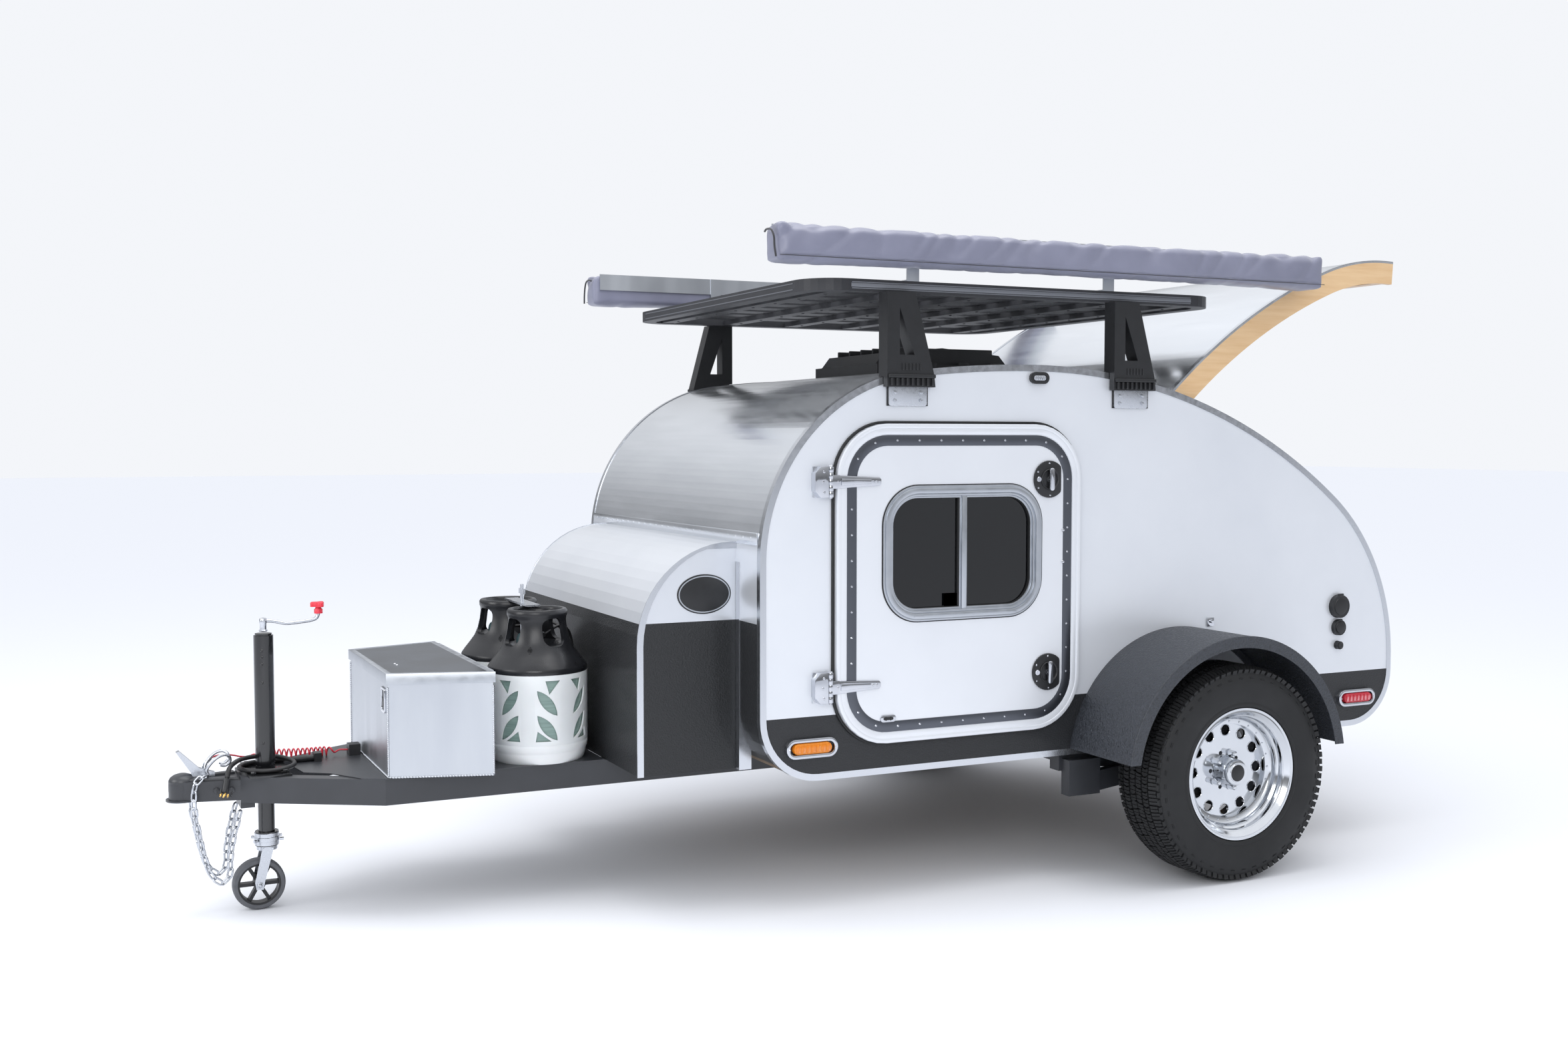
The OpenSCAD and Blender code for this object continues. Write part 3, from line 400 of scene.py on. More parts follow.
def blackBelow(tree, shader, tone, height, colour, grit):
    # everything under a height carries the textured black coat
    where = addNode(tree, "ShaderNodeTexCoord")
    split = addNode(tree, "ShaderNodeSeparateXYZ", {"Vector": where.outputs["Object"]})
    under = addNode(tree, "ShaderNodeMath", {0: split.outputs["Z"], 1: height}, operation="LESS_THAN")
    mix = addNode(tree, "ShaderNodeMix",
                  {"Factor": under.outputs[0], 6: tone.outputs[2], 7: linear(colour)}, data_type="RGBA")
    tree.links.new(mix.outputs[2], shader.inputs["Base Color"])
    metal = addNode(tree, "ShaderNodeMapRange", {"Value": under.outputs[0],
                                                 "To Min": shader.inputs["Metallic"].default_value,
                                                 "To Max": 0.0})
    tree.links.new(metal.outputs["Result"], shader.inputs["Metallic"])
    rough = addNode(tree, "ShaderNodeMapRange", {"Value": under.outputs[0],
                                                 "To Min": shader.inputs["Roughness"].default_value,
                                                 "To Max": 0.55})
    tree.links.new(rough.outputs["Result"], shader.inputs["Roughness"])
    pattern = addNode(tree, "ShaderNodeTexNoise",
                      {"Vector": where.outputs["Object"], "Scale": 1 / grit, "Detail": 2.0})
    raised = addNode(tree, "ShaderNodeMath", {0: pattern.outputs["Fac"], 1: under.outputs[0]},
                     operation="MULTIPLY")
    bump = addNode(tree, "ShaderNodeBump",
                   {"Height": raised.outputs[0], "Distance": 0.0026, "Strength": 0.9})
    tree.links.new(bump.outputs["Normal"], shader.inputs["Normal"])


def plyEdges(tree, shader, tone, ply):
    # birch plywood: bands of ply show on every face that isn't the board's broad side
    where = addNode(tree, "ShaderNodeTexCoord")
    split = addNode(tree, "ShaderNodeSeparateXYZ", {"Vector": where.outputs["Object"]})
    flip = addNode(tree, "ShaderNodeMath", {0: split.outputs["Y"], 1: ply * 2}, operation="MODULO")
    dark = addNode(tree, "ShaderNodeMath", {0: flip.outputs[0], 1: ply}, operation="GREATER_THAN")
    facing = addNode(tree, "ShaderNodeSeparateXYZ", {"Vector": where.outputs["Normal"]})
    broad = addNode(tree, "ShaderNodeMath", {0: facing.outputs["Y"]}, operation="ABSOLUTE")
    edge = addNode(tree, "ShaderNodeMath", {0: broad.outputs[0], 1: 0.5}, operation="LESS_THAN")
    both = addNode(tree, "ShaderNodeMath", {0: dark.outputs[0], 1: edge.outputs[0]}, operation="MULTIPLY")
    part = addNode(tree, "ShaderNodeMath", {0: both.outputs[0], 1: 0.55}, operation="MULTIPLY")
    mix = addNode(tree, "ShaderNodeMix",
                  {"Factor": part.outputs[0], 6: tone.outputs[2], 7: linear("8A6238")}, data_type="RGBA")
    tree.links.new(mix.outputs[2], shader.inputs["Base Color"])


def surface(name, colour, roughness, metallic=0.0, tone=None, grain=None, coat=None, ply=None, **sockets):
    # one material: its plain values, then what varies over it, in the order the patterns are laid on
    material = bpy.data.materials.new(name)
    material.use_nodes = True
    shader = material.node_tree.nodes["Principled BSDF"]
    shader.inputs["Base Color"].default_value = linear(colour)
    shader.inputs["Roughness"].default_value = roughness
    shader.inputs["Metallic"].default_value = metallic
    for socket, value in sockets.items():
        shader.inputs[socket.replace("_", " ")].default_value = value
    finishes[name] = material
    tree = material.node_tree
    if tone:
        tone = variedTone(tree, shader, *tone)
    if coat:
        blackBelow(tree, shader, tone, *coat)
    if ply:
        plyEdges(tree, shader, tone, ply)
    if grain:
        grained(tree, shader, *grain)


def makeMaterials():
    # coil-coated aluminium: a soft silver-white pearl sheen, with a black textured coat along the bottom
    surface("coatedAluminium", "DDE0E6", 0.36, 0.35, tone=(even, 3.0, "D6DAE1", "E6E9EE"),
            coat=(0.587, "15171B", 0.005), Coat_Weight=0.25, Coat_Roughness=0.2)
    # the doors' skin, coated the same way but with no black along the bottom
    surface("pearlAluminium", "DDE0E6", 0.34, 0.35, tone=(even, 3.0, "DADDE3", "E8EBF0"), Coat_Weight=0.25,
            Coat_Roughness=0.2)
    # the same skin on the storage box, whose black coat reaches higher
    surface("boxAluminium", "D8DBE1", 0.3, 0.6, tone=(even, 3.0, "D2D6DD", "E2E5EA"),
            coat=(0.864, "15171A", 0.005), Coat_Weight=0.2, Coat_Roughness=0.15)
    # bright aluminium sheet on nose, roof and hatch: mirrors its surroundings in soft streaks
    surface("brightAluminium", "DCDFE4", 0.2, 0.9,
            tone=((6, 0.6, 6), 4.0, "D3D7DD", "E4E7EB", (0.14, 0.26)))
    # bright extruded trim, fine draw lines
    surface("extrudedAluminium", "D0D3D8", 0.2, 1.0, tone=(even, 60.0, "C4C7CD", "D2D5DA", (0.17, 0.25)))
    # satin anodised window frames and strips
    surface("anodisedAluminium", "B9BDC4", 0.34, 1.0, tone=(even, 25.0, "AEB3BA", "C4C8CE", (0.28, 0.4)))
    # brushed aluminium strip on the doors, with an upright grain; its dark base colour is painted shade,
    # standing in for the dim reflection the band shows
    surface("shadedBrushedAluminium", "62656C", 0.32, 1.0, grain=(0.003, 0.0002, (30, 1, 1), 0.3))
    # mill finish sheet of the tongue box: faint rolling lines and cloudy patches
    surface("millAluminium", "C2C6CC", 0.36, 1.0, tone=((1, 1, 0.2), 9.0, "B4B8BF", "CED2D7", (0.3, 0.44)))
    # aluminium lid dulled by weather: darker and cloudy
    surface("satinLid", "6F7379", 0.34, 1.0, tone=(even, 9.0, "64686E", "7A7E85", (0.28, 0.4)))
    # polished cast wheel, turned rings
    surface("polishedAlloy", "CDD0D5", 0.1, 1.0, tone=(even, 12.0, "C4C7CC", "D6D9DD", (0.07, 0.14)))
    # bright zinc plate with a faint crystal pattern
    surface("zincPlate", "C6CACF", 0.26, 1.0, tone=(even, 90.0, "BBBFC5", "CFD2D8", (0.24, 0.34)))
    # chrome plate with slight polish haze
    surface("chromePlate", "C4C7CD", 0.08, 1.0, tone=(even, 20.0, "B9BCC3", "D2D4D9", (0.05, 0.12)))
    # satin black powder coat, orange peel about 2 mm
    surface("powderCoat", "2B2D31", 0.42, 0.0, tone=(even, 14.0, "27292D", "33353A"),
            grain=(0.0022, 0.0003, even, 0.4), Coat_Weight=0.3, Coat_Roughness=0.3)
    # black powder coat on the rack, drier and greyer, with a fine texture
    surface("rackPowderCoat", "2A2B2E", 0.5, tone=(even, 20.0, "232427", "323338"),
            grain=(0.0018, 0.0003, even, 0.5))
    # bare aluminium that shows in the rack rail's grooves, grey against the coat
    surface("rackInset", "7D8086", 0.4, 0.6, grain=(0.0018, 0.0002, even, 0.3))
    # black gloss enamel of the jack
    surface("glossEnamel", "111215", 0.22, 0.0, tone=((1, 1, 0.3), 16.0, "0D0E10", "17181B"),
            Coat_Weight=0.6, Coat_Roughness=0.08)
    # sprayed bedliner: rough grit drawn about 6 mm wide, coarser than real so that it shows, that glints
    surface("bedliner", "33363C", 0.5, tone=(even, 170.0, "16181B", "464A52", (0.3, 0.65), 1.0),
            grain=(0.006, 0.0032, even, 1.0))
    # tyre rubber: dull black with a dusty bloom
    surface("tyreRubber", "121315", 0.62, tone=(even, 10.0, "0F1012", "1A1B1D", (0.55, 0.72)),
            grain=(0.002, 0.0003, even, 0.35))
    # grey solid rubber, scuffed and matt
    surface("casterRubber", "56585C", 0.6, tone=(even, 40.0, "494B4F", "66686D"),
            grain=(0.0025, 0.0004, even, 0.5))
    # moulded ABS with a fine spark grain
    surface("mouldedPlastic", "1A1B1D", 0.4, tone=(even, 30.0, "151618", "212225"),
            grain=(0.0012, 0.0002, even, 0.4))
    # blow-moulded bottle collar, smoother and glossier
    surface("collarPlastic", "17181B", 0.3, tone=(even, 18.0, "121316", "202125", (0.24, 0.38)))
    # moulded polyethylene shell: white, waxy and slightly cloudy
    surface("bottleShell", "E4E6E7", 0.34, 0.0, tone=(even, 12.0, "DADCDD", "EBECED", (0.3, 0.42)),
            Subsurface_Weight=0.05)
    # glass-fibre winding seen under the shell: fine level bands
    surface("fibreWinding", "76908A", 0.3, 0.0, tone=((1, 1, 60), 6.0, "5D7770", "93ABA4"), Coat_Weight=0.4,
            Coat_Roughness=0.15)
    # machined brass: warm yellow with drifting brightness from tarnish
    surface("machinedBrass", "C09A52", 0.25, 1.0, tone=(even, 60.0, "A98444", "D0AC66", (0.18, 0.34)))
    # hammer-finish paint on cast zinc: dark green and slightly rough
    surface("regulatorPaint", "33474A", 0.4, grain=(0.002, 0.0003, even, 0.4))
    # moulded nylon: saturated red, with light soaking a little way in
    surface("redNylon", "D42A3C", 0.35, 0.0, tone=(even, 40.0, "C92336", "DE3B4C"), Subsurface_Weight=0.08)
    # extruded polyurethane: bright red and glossy
    surface("coilJacket", "C91F33", 0.28, tone=(even, 60.0, "B91A2D", "D52B3F"))
    # extruded PVC: black with a soft shine
    surface("cableJacket", "1A1A1C", 0.45, tone=(even, 60.0, "151517", "232325"))
    # lenses: clear coloured acrylic with ridges
    surface("amberLens", "F08A18", 0.12, 0.0, tone=((40, 1, 1), 6.0, "E87608", "F9A53A"),
            Transmission_Weight=0.25)
    surface("redLens", "D01C30", 0.12, 0.0, tone=((40, 1, 1), 6.0, "B81226", "E04A58"),
            Transmission_Weight=0.2)
    # grey tinted safety glass
    surface("tintedGlass", "06070A", 0.03, 0.0, tone=(even, 2.0, "040507", "0A0C10"),
            Transmission_Weight=0.35, IOR=1.5)
    # EPDM seal: matt black with a fine skin
    surface("sealRubber", "141517", 0.55, grain=(0.0015, 0.0002, even, 0.3))
    # birch plywood, clear lacquer: long grain and the stripes of its plies
    surface("birchPlywood", "DDB98C", 0.42, 0.0, tone=((1.2, 14, 14), 5.0, "C99F6E", "E8CBA2", None, 6.0),
            ply=0.0018, Coat_Weight=0.25, Coat_Roughness=0.2)
    # plywood under a brown sealer: dull, with its long grain still visible
    surface("sealedPlywood", "6E5B45", 0.5, tone=((1.2, 14, 14), 5.0, "5C4A37", "7F6A51", None, 6.0))
    # coated awning cloth: a fine weave that shows as a soft grain, and a slight sheen
    surface("awningVinyl", "75778A", 0.38, 0.0, tone=(even, 7.0, "686A7C", "84869A", (0.32, 0.46)),
            grain=(0.0024, 0.0003, even, 0.35, 1.0), Sheen_Weight=0.15, Coat_Weight=0.15,
            Coat_Roughness=0.3)
    # woven polypropylene tape: dark, matt and ribbed
    surface("bindingTape", "26272C", 0.7, 0.0, grain=(0.002, 0.0004, even, 0.5), Sheen_Weight=0.2)
    # woven mattress cover
    surface("mattressCover", "7B8089", 0.85, 0.0, tone=(even, 60.0, "6D727B", "8A8F98"),
            grain=(0.003, 0.0006, even, 0.6), Sheen_Weight=0.3)
    # cast iron hub: dark grey with a sand-cast grain
    surface("hubIron", "3A3B3E", 0.5, 0.6, grain=(0.003, 0.0005, even, 0.4))


makeMaterials()
nodeFinish = {
    "powderCoat": ["chassis_frame", "suspension", "tongue_deck", "coupler"],
    "glossEnamel": ["jack_tube", "jack_leg"],
    "hubIron": ["left_hub", "right_hub"],
    "polishedAlloy": ["left_rim", "right_rim"],
    "bedliner": ["left_fender", "right_fender"],
    "zincPlate": ["coupler_latch", "caster_fork", "bottle_clamp", "jack_crank"],
    "machinedBrass": ["gas_valves"],
    "millAluminium": ["tongue_box", "awning_rails"],
    "satinLid": ["tongue_box_lid"],
    "sealedPlywood": ["cabin_floor"],
    "birchPlywood": ["bulkhead", "galley", "hatch_ribs"],
    "coatedAluminium": ["left_wall", "right_wall", "rear_panel"],
    "pearlAluminium": ["left_door", "right_door"],
    "boxAluminium": ["storage_box", "front_wall"],
    "brightAluminium": ["roof", "hatch"],
    "extrudedAluminium": ["edge_trim", "storage_box_trim", "hatch_trim", "hinge_leaves"],
    "anodisedAluminium": ["left_door_window", "right_door_window"],
    "chromePlate": ["left_door_fittings", "right_door_fittings"],
    "rackPowderCoat": ["rack_platform"],
    "mouldedPlastic": ["rack_legs", "roof_vent", "side_ports", "cord_fittings", "trailer_plug"],
    "collarPlastic": ["gas_collars"],
    "bottleShell": ["gas_bottles"],
    "amberLens": ["side_markers"],
    "redLens": ["rear_lights"],
    "awningVinyl": ["awning_bags"],
    "mattressCover": ["mattress"],
    "casterRubber": ["caster_wheel"],
    "tyreRubber": ["left_tyre", "right_tyre"],
    "coilJacket": ["breakaway_cord"],
    "cableJacket": ["plug_cable"],
}
for finish, nodes in nodeFinish.items():
    for node in nodes:
        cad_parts[node].material_slots[0].material = finishes[finish]
print("stage: materials")


axleX = middle("left_tyre").x
cords = {
    # each route is a list of points in millimetres from the wheel's axis, as the design gives it
    "cable": [(2705, -60, 428), (2740, -60, 428), (2775, -71, 428), (2810, -74, 428), (2845, -67, 428),
              (2873, -48, 428), (2891, -20, 428), (2894, 12, 428), (2885, 42, 428), (2862, 67, 428),
              (2832, 81, 428), (2798, 81, 428), (2767, 68, 430), (2746, 44, 432), (2740, 14, 434),
              (2748, -16, 437), (2767, -40, 441), (2796, -53, 445), (2827, -52, 448), (2854, -38, 450),
              (2877, -15, 452), (2896, 12, 453), (2911, 40, 452), (2924, 64, 448), (2934, 82, 437),
              (2938, 90, 420)],
    "coil": [(2560, -115, 434), (2600, -116, 434), (2640, -118, 434), (2680, -119, 434), (2720, -119, 435),
             (2760, -118, 437), (2800, -116, 437), (2840, -114, 438), (2876, -110, 440)],
    "lead": [(2876, -110, 440), (2900, -98, 448), (2925, -80, 455), (2950, -62, 458), (2968, -48, 455),
             (2980, -38, 446)],
    "chain": [(2985, 28, 415.3), (2998, 42, 416), (3010, 54, 414), (3020, 61, 404), (3026, 62, 385),
              (3028, 62, 350), (3026, 60, 310), (3016, 58, 255), (3003, 57, 190), (2988, 56, 140),
              (2968, 56, 112), (2948, 56, 106), (2932, 56, 128), (2930, 56, 170), (2922, 56, 225),
              (2910, 56, 275), (2898, 56, 320)],
    "cableWidth": 14 * mm,
    "coilRadius": 13.5 * mm,
    "wireWidth": 5 * mm,
    "turns": 17,
    "drawnTurns": 1.8,      # turns at each end that are drawn out
    "drawnOut": 4,          # how much longer their pitch is, and how the pitch opens forward
    "opening": 0.35,
}


def fromAxle(points):
    return [Vector((x * mm + axleX, y * mm, z * mm)) for x, y, z in points]


def makePlug(end, ahead):
    # seven-way plug: ribbed sleeve, body, open face with its pins
    bm = bmesh.new()
    profile = [(0, 0), (0.0085, 0), (0.01, 0.004), (0.0105, 0.016), (0.017, 0.02), (0.0205, 0.024),
               (0.0215, 0.034), (0.0205, 0.036), (0.0215, 0.04), (0.0215, 0.06), (0.0195, 0.062),
               (0.0185, 0.06), (0.0185, 0.05), (0, 0.05)]
    lathe(bm, profile, end + ahead * 0.0003, ahead, 32)
    for k in range(7):
        place = Matrix.Translation(end) @ turnTo(ahead) @ Matrix.Rotation(math.tau * k / 7, 4, "Z")
        block(bm, (0.0025, 0.0025, 0.014), place @ Matrix.Translation((0.0205, 0, 0.046)))
    plug = finishPiece(bm, "trailerPlug", "mouldedPlastic", "trailer",
                       replaces=["trailer_plug"])
    bm = bmesh.new()
    across = ahead.cross(Vector((0, 0, 1))).normalized()
    above = across.cross(ahead)
    for k in range(7):
        spread = 0.0115 if k else 0.0
        turn = math.tau * k / 6
        foot = end + ahead * 0.049 + (across * math.cos(turn) + above * math.sin(turn)) * spread
        barrel(bm, foot, foot + ahead * 0.008, 0.0022, sides=10)
    pins = finishPiece(bm, "plugPins", "machinedBrass", "trailer")
    return [plug, pins]


def makeCords():
    route = fromAxle(cords["cable"])
    cable = curvePiece("plugCable", route, cords["cableWidth"] / 2, "cableJacket", "trailer",
                       bezier=True)
    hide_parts("plug_cable")
    plug = makePlug(route[-1], (route[-1] - route[-2]).normalized())
    bm = bmesh.new()
    gland = route[0]
    profile = [(0.0075, 0.03), (0.0085, 0.03), (0.0115, 0.0), (0.0115, -0.012), (0.0075, -0.012),
               (0.0075, 0.03)]
    lathe(bm, profile, gland, (1, 0, 0), 24)
    relief = finishPiece(bm, "cableGland", "mouldedPlastic", "trailer")

    # the curly cord is wound round its middle line, closer at the rear; its first and last turns are drawn
    # out and narrow to nothing, so the wire leaves the switch and runs on into the plain lead without a kink
    fineness = 40
    line = smoothLine(fromAxle(cords["coil"] + cords["lead"][1:]), fineness)
    coiled = (len(cords["coil"]) - 1) * fineness
    perTurn = 16
    drawn = perTurn * cords["drawnTurns"]
    steps = cords["turns"] * perTurn
    along = [0.0]
    for i in range(steps):
        nearEnd = max(0, 1 - min(i, steps - 1 - i) / drawn)
        along.append(along[-1] + 1 + cords["drawnOut"] * nearEnd + cords["opening"] * i / steps)
    helix = []
    for i in range(steps + 1):
        at = along[i] / along[-1] * coiled
        grown = min(1, i / drawn, (steps - i) / drawn)
        wide = cords["coilRadius"] * grown * grown * (3 - 2 * grown)
        turn = math.tau * i / perTurn
        helix.append(line[int(at)].lerp(line[int(at) + 1], at % 1)
                     + Vector((0, math.cos(turn), math.sin(turn))) * wide)
    line = helix + line[coiled + 5::5]
    coil = curvePiece("breakawayCord", line, cords["wireWidth"] / 2, "coilJacket", "trailer")
    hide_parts("breakaway_cord")
    bm = bmesh.new()
    tip, ahead = line[-1], (line[-1] - line[-2]).normalized()
    barrel(bm, tip - ahead * 0.016, tip + ahead * 0.002, 0.0042, sides=16, bevel=0.0008)
    sleeve = finishPiece(bm, "breakawayCrimp", "mouldedPlastic", "trailer")
    ring = [tip + ahead * 0.012 + ahead * 0.011 * math.cos(a) + Vector((0, 0, 0.008)) * math.sin(a)
            for a in (math.tau * k / 20 for k in range(20))]
    clip = curvePiece("breakawayClip", ring, 0.0017, "zincPlate", "trailer", cyclic=True)
    print("stage: cords", round(lengthOf(route), 3), round(lengthOf(line), 3))


makeCords()


def linkOf(bm, length, wire, width):
    # one welded link, a round bar bent to a long ring
    bend, straight = width / 2 - wire / 2, length / 2 - width / 2
    circle = bmesh.ops.create_circle(bm, segments=8, radius=wire / 2)["verts"]
    turn = Matrix.Translation((straight, bend, 0)) @ Matrix.Rotation(math.pi / 2, 4, "Y")
    bmesh.ops.transform(bm, matrix=turn, verts=circle)
    ring = circle
    for centre in (straight, -straight):
        edges = list({e for v in ring for e in v.link_edges if all(w in ring for w in e.verts)})
        bent = bmesh.ops.spin(bm, geom=ring + edges, cent=(centre, 0, 0), axis=(0, 0, 1),
                              angle=-math.pi, steps=6)["geom_last"]
        ring = [g for g in bent if isinstance(g, bmesh.types.BMVert)]
        edges = [g for g in bent if isinstance(g, bmesh.types.BMEdge)]
        drawn = bmesh.ops.extrude_edge_only(bm, edges=edges)["geom"]
        ring = [g for g in drawn if isinstance(g, bmesh.types.BMVert)]
        bmesh.ops.translate(bm, vec=(-2 * centre, 0, 0), verts=ring)


def makeChains():
    link = {"length": 0.036, "wire": 0.006, "width": 0.0215, "pitch": 0.0245}
    sample = bmesh.new()
    linkOf(sample, link["length"], link["wire"], link["width"])
    bmesh.ops.remove_doubles(sample, verts=sample.verts, dist=0.00002)
    shape = meshOf(sample, "chainLink")
    bm = bmesh.new()
    for side in (1, -1):
        line = smoothLine([(p.x, p.y * side, p.z) for p in fromAxle(cords["chain"])], 12)
        walked, due, count = 0.0, link["pitch"] * 0.7, 0
        for a, b in zip(line, line[1:]):
            step = (b - a).length
            while walked + step >= due:
                spot = a.lerp(b, (due - walked) / step)
                along = (b - a).normalized()
                roll = math.radians(45 + 90 * (count % 2))
                place = Matrix.Translation(spot) @ along.to_track_quat("X", "Z").to_matrix().to_4x4() \
                    @ Matrix.Rotation(roll, 4, "X")
                stamp(bm, shape, place)
                due += link["pitch"]
                count += 1
            walked += step
    finishPiece(bm, "safetyChainLinks", "zincPlate", "trailer", 60, ["safety_chains"])
    # the two snap hooks, hung over the coupler by the first links
    for side, label in ((1, "left"), (-1, "right")):
        foot = fromAxle([(2985, 26 * side, 425)])[0]
        path = [foot + Vector((dx * mm, dy * side * mm, dz * mm)) for dx, dy, dz in
                ((0, 0, -4), (4, 3, 10), (-8, 8, 30), (-26, 10, 46), (-46, 6, 52), (-60, 0, 44),
                 (-62, -6, 28), (-50, -8, 18), (-36, -6, 20))]
        curvePiece(label + "SnapHook", smoothLine(path, 5), 0.0048, "zincPlate", "trailer")
    print("stage: chains")


makeChains()


tyre = {
    "radius": 0.344,
    "pitches": 44,
    "blockDepth": 0.0095,
    "sipe": 0.0014,
    "draft": 0.94,
    # half of the carcass, from the bead out to the crown: (radius, distance from the middle)
    "profile": [(0.1912, 0.083), (0.2108, 0.0858), (0.214, 0.0972), (0.2195, 0.1), (0.2245, 0.1),
                (0.228, 0.0985), (0.2368, 0.101), (0.2674, 0.1022), (0.288, 0.1016), (0.3, 0.1002),
                (0.304, 0.0985), (0.312, 0.0965), (0.32, 0.093), (0.327, 0.087), (0.332, 0.079),
                (0.3345, 0.06), (0.335, 0.03), (0.335, 0.0)],
    # rows of tread blocks on the near half: outlines in (share of a pitch, distance from the middle)
    "rows": [
        [(0.05, 0.0015), (0.44, 0.0015), (0.56, 0.012), (0.52, 0.027), (0.12, 0.027), (0.0, 0.015)],
        [(0.58, 0.0015), (0.92, 0.0015), (1.0, 0.011), (1.04, 0.027), (0.66, 0.027), (0.62, 0.013)],
        [(0.18, 0.032), (0.62, 0.032), (0.7, 0.044), (0.6, 0.058), (0.16, 0.058), (0.26, 0.045)],
        [(0.76, 0.032), (1.1, 0.032), (1.18, 0.044), (1.08, 0.058), (0.7, 0.058), (0.8, 0.045)],
        [(0.02, 0.0625), (0.44, 0.0625), (0.46, 0.079), (0.45, 0.0905), (0.03, 0.0905), (0.0, 0.079)],
        [(0.53, 0.0625), (0.94, 0.0625), (0.96, 0.079), (0.94, 0.087), (0.54, 0.087), (0.52, 0.079)],
    ],
}


def crownRadius(y):
    y = abs(y)
    if y < 0.0685:
        return tyre["radius"] - 0.0004
    if y < 0.0805:
        return tyre["radius"] - 0.0004 - 0.004 * (y - 0.0685) / 0.012
    return tyre["radius"] - 0.0044 - 0.01 * (y - 0.0805) / 0.01


def treadBlock(bm, outline, pitch, mirrored):
    middleS = sum(p[0] for p in outline) / len(outline)
    middleY = sum(p[1] for p in outline) / len(outline)
    low, top = [], []
    for s, y in outline:
        for loop, shrink, depth in ((low, 1.0, tyre["blockDepth"] + 0.004), (top, tyre["draft"], 0.0)):
            ps = middleS + (s - middleS) * shrink
            py = middleY + (y - middleY) * shrink
            angle = (ps * pitch + (pitch / 2 if mirrored else 0)) / tyre["radius"]
            r = crownRadius(py) - depth
            loop.append(Vector((r * math.sin(angle), -py if mirrored else py, r * math.cos(angle))))
    edges = loopOf(bm, low)[1]
    chain, topEdges = loopOf(bm, top)
    bmesh.ops.bridge_loops(bm, edges=edges + topEdges)
    bm.faces.new(chain)


def makeTread(bm):
    pitch = math.tau * tyre["radius"] / tyre["pitches"]
    gap = tyre["sipe"] / pitch / 2
    for outline in tyre["rows"]:
        s0, s1 = min(p[0] for p in outline), max(p[0] for p in outline)
        cut = (s0 + s1) / 2
        first = [(min(s, cut - gap), y) for s, y in outline]
        second = [(max(s, cut + gap), y) for s, y in outline]
        for part in (first, second):
            clean = [p for i, p in enumerate(part) if p != part[i - 1]]
            for mirrored in (False, True):
                treadBlock(bm, clean, pitch, mirrored)
    # filler boxes under the crown's middle, inside the carcass, where they are not seen
    for reach in (0.31, 0.318, 0.31, 0.318):
        box(bm, (-0.0085, 0, reach), (0.0085, 0.0045, 0.334), 0.0012, 1)


def makeTyre(bm):
    centre = middle("left_tyre")
    full = tyre["profile"] + [(r, -y) for r, y in reversed(tyre["profile"][:-1])]
    lathe(bm, full + [full[0]], (0, 0, 0), (0, 1, 0), 96)
    tread = bmesh.new()
    makeTread(tread)
    bmesh.ops.spin(tread, geom=tread.verts[:] + tread.edges[:] + tread.faces[:], cent=(0, 0, 0),
                   axis=(0, 1, 0),
                   angle=math.tau * (tyre["pitches"] - 1) / tyre["pitches"], steps=tyre["pitches"] - 1,
                   use_duplicate=True)
    bm.from_mesh(meshOf(tread, "tread"))
    # lugs down the shoulders, long and short by turns, and the double dashes under the short ones
    pitchAngle = math.tau / tyre["pitches"]
    for k in range(tyre["pitches"] * 2):
        reach = 0.311 if k % 2 else 0.32
        for sign in (1, -1):
            turn = Matrix.Rotation((k + 0.5) * pitchAngle / 2 + (pitchAngle / 2 if sign < 0 else 0), 4, "Y")
            lean = Matrix.Rotation(-0.42 * sign, 4, "X")
            spot = Matrix.Translation((0, sign * 0.0915, (0.335 + reach) / 2))
            block(bm, (0.0165, 0.006, 0.335 - reach), turn @ spot @ lean)
            for r in () if k % 2 else (0.3065, 0.3015):
                block(bm, (0.015, 0.0016, 0.0018), turn @ Matrix.Translation((0, sign * 0.0992, r)))
    bmesh.ops.translate(bm, vec=centre, verts=bm.verts)


wheel = {
    # the dished barrel, from the outer lip in to the disc: (radius, distance out from the tyre's middle)
    "dish": [(0.203, 0.0945), (0.1985, 0.0955), (0.193, 0.0905), (0.186, 0.083), (0.1815, 0.079),
             (0.1805, 0.064), (0.1745, 0.0585), (0.173, 0.044), (0.168, 0.037), (0.1655, 0.0345),
             (0.152, 0.032), (0.15, 0.02), (0.149, 0.0155)],
    "cap": [(0.0, 0.077), (0.029, 0.077), (0.03, 0.0755), (0.033, 0.0755), (0.039, 0.074),
            (0.0415, 0.07), (0.0425, 0.06), (0.0435, 0.03), (0.048, 0.024), (0.049, 0.0155), (0.0, 0.0155)],
    "rivetRing": 0.1588,
    "rivets": 24,
    "studRing": 0.05715,
    "studs": 5,
    "holeRing": 0.128,
    "holes": 12,
}


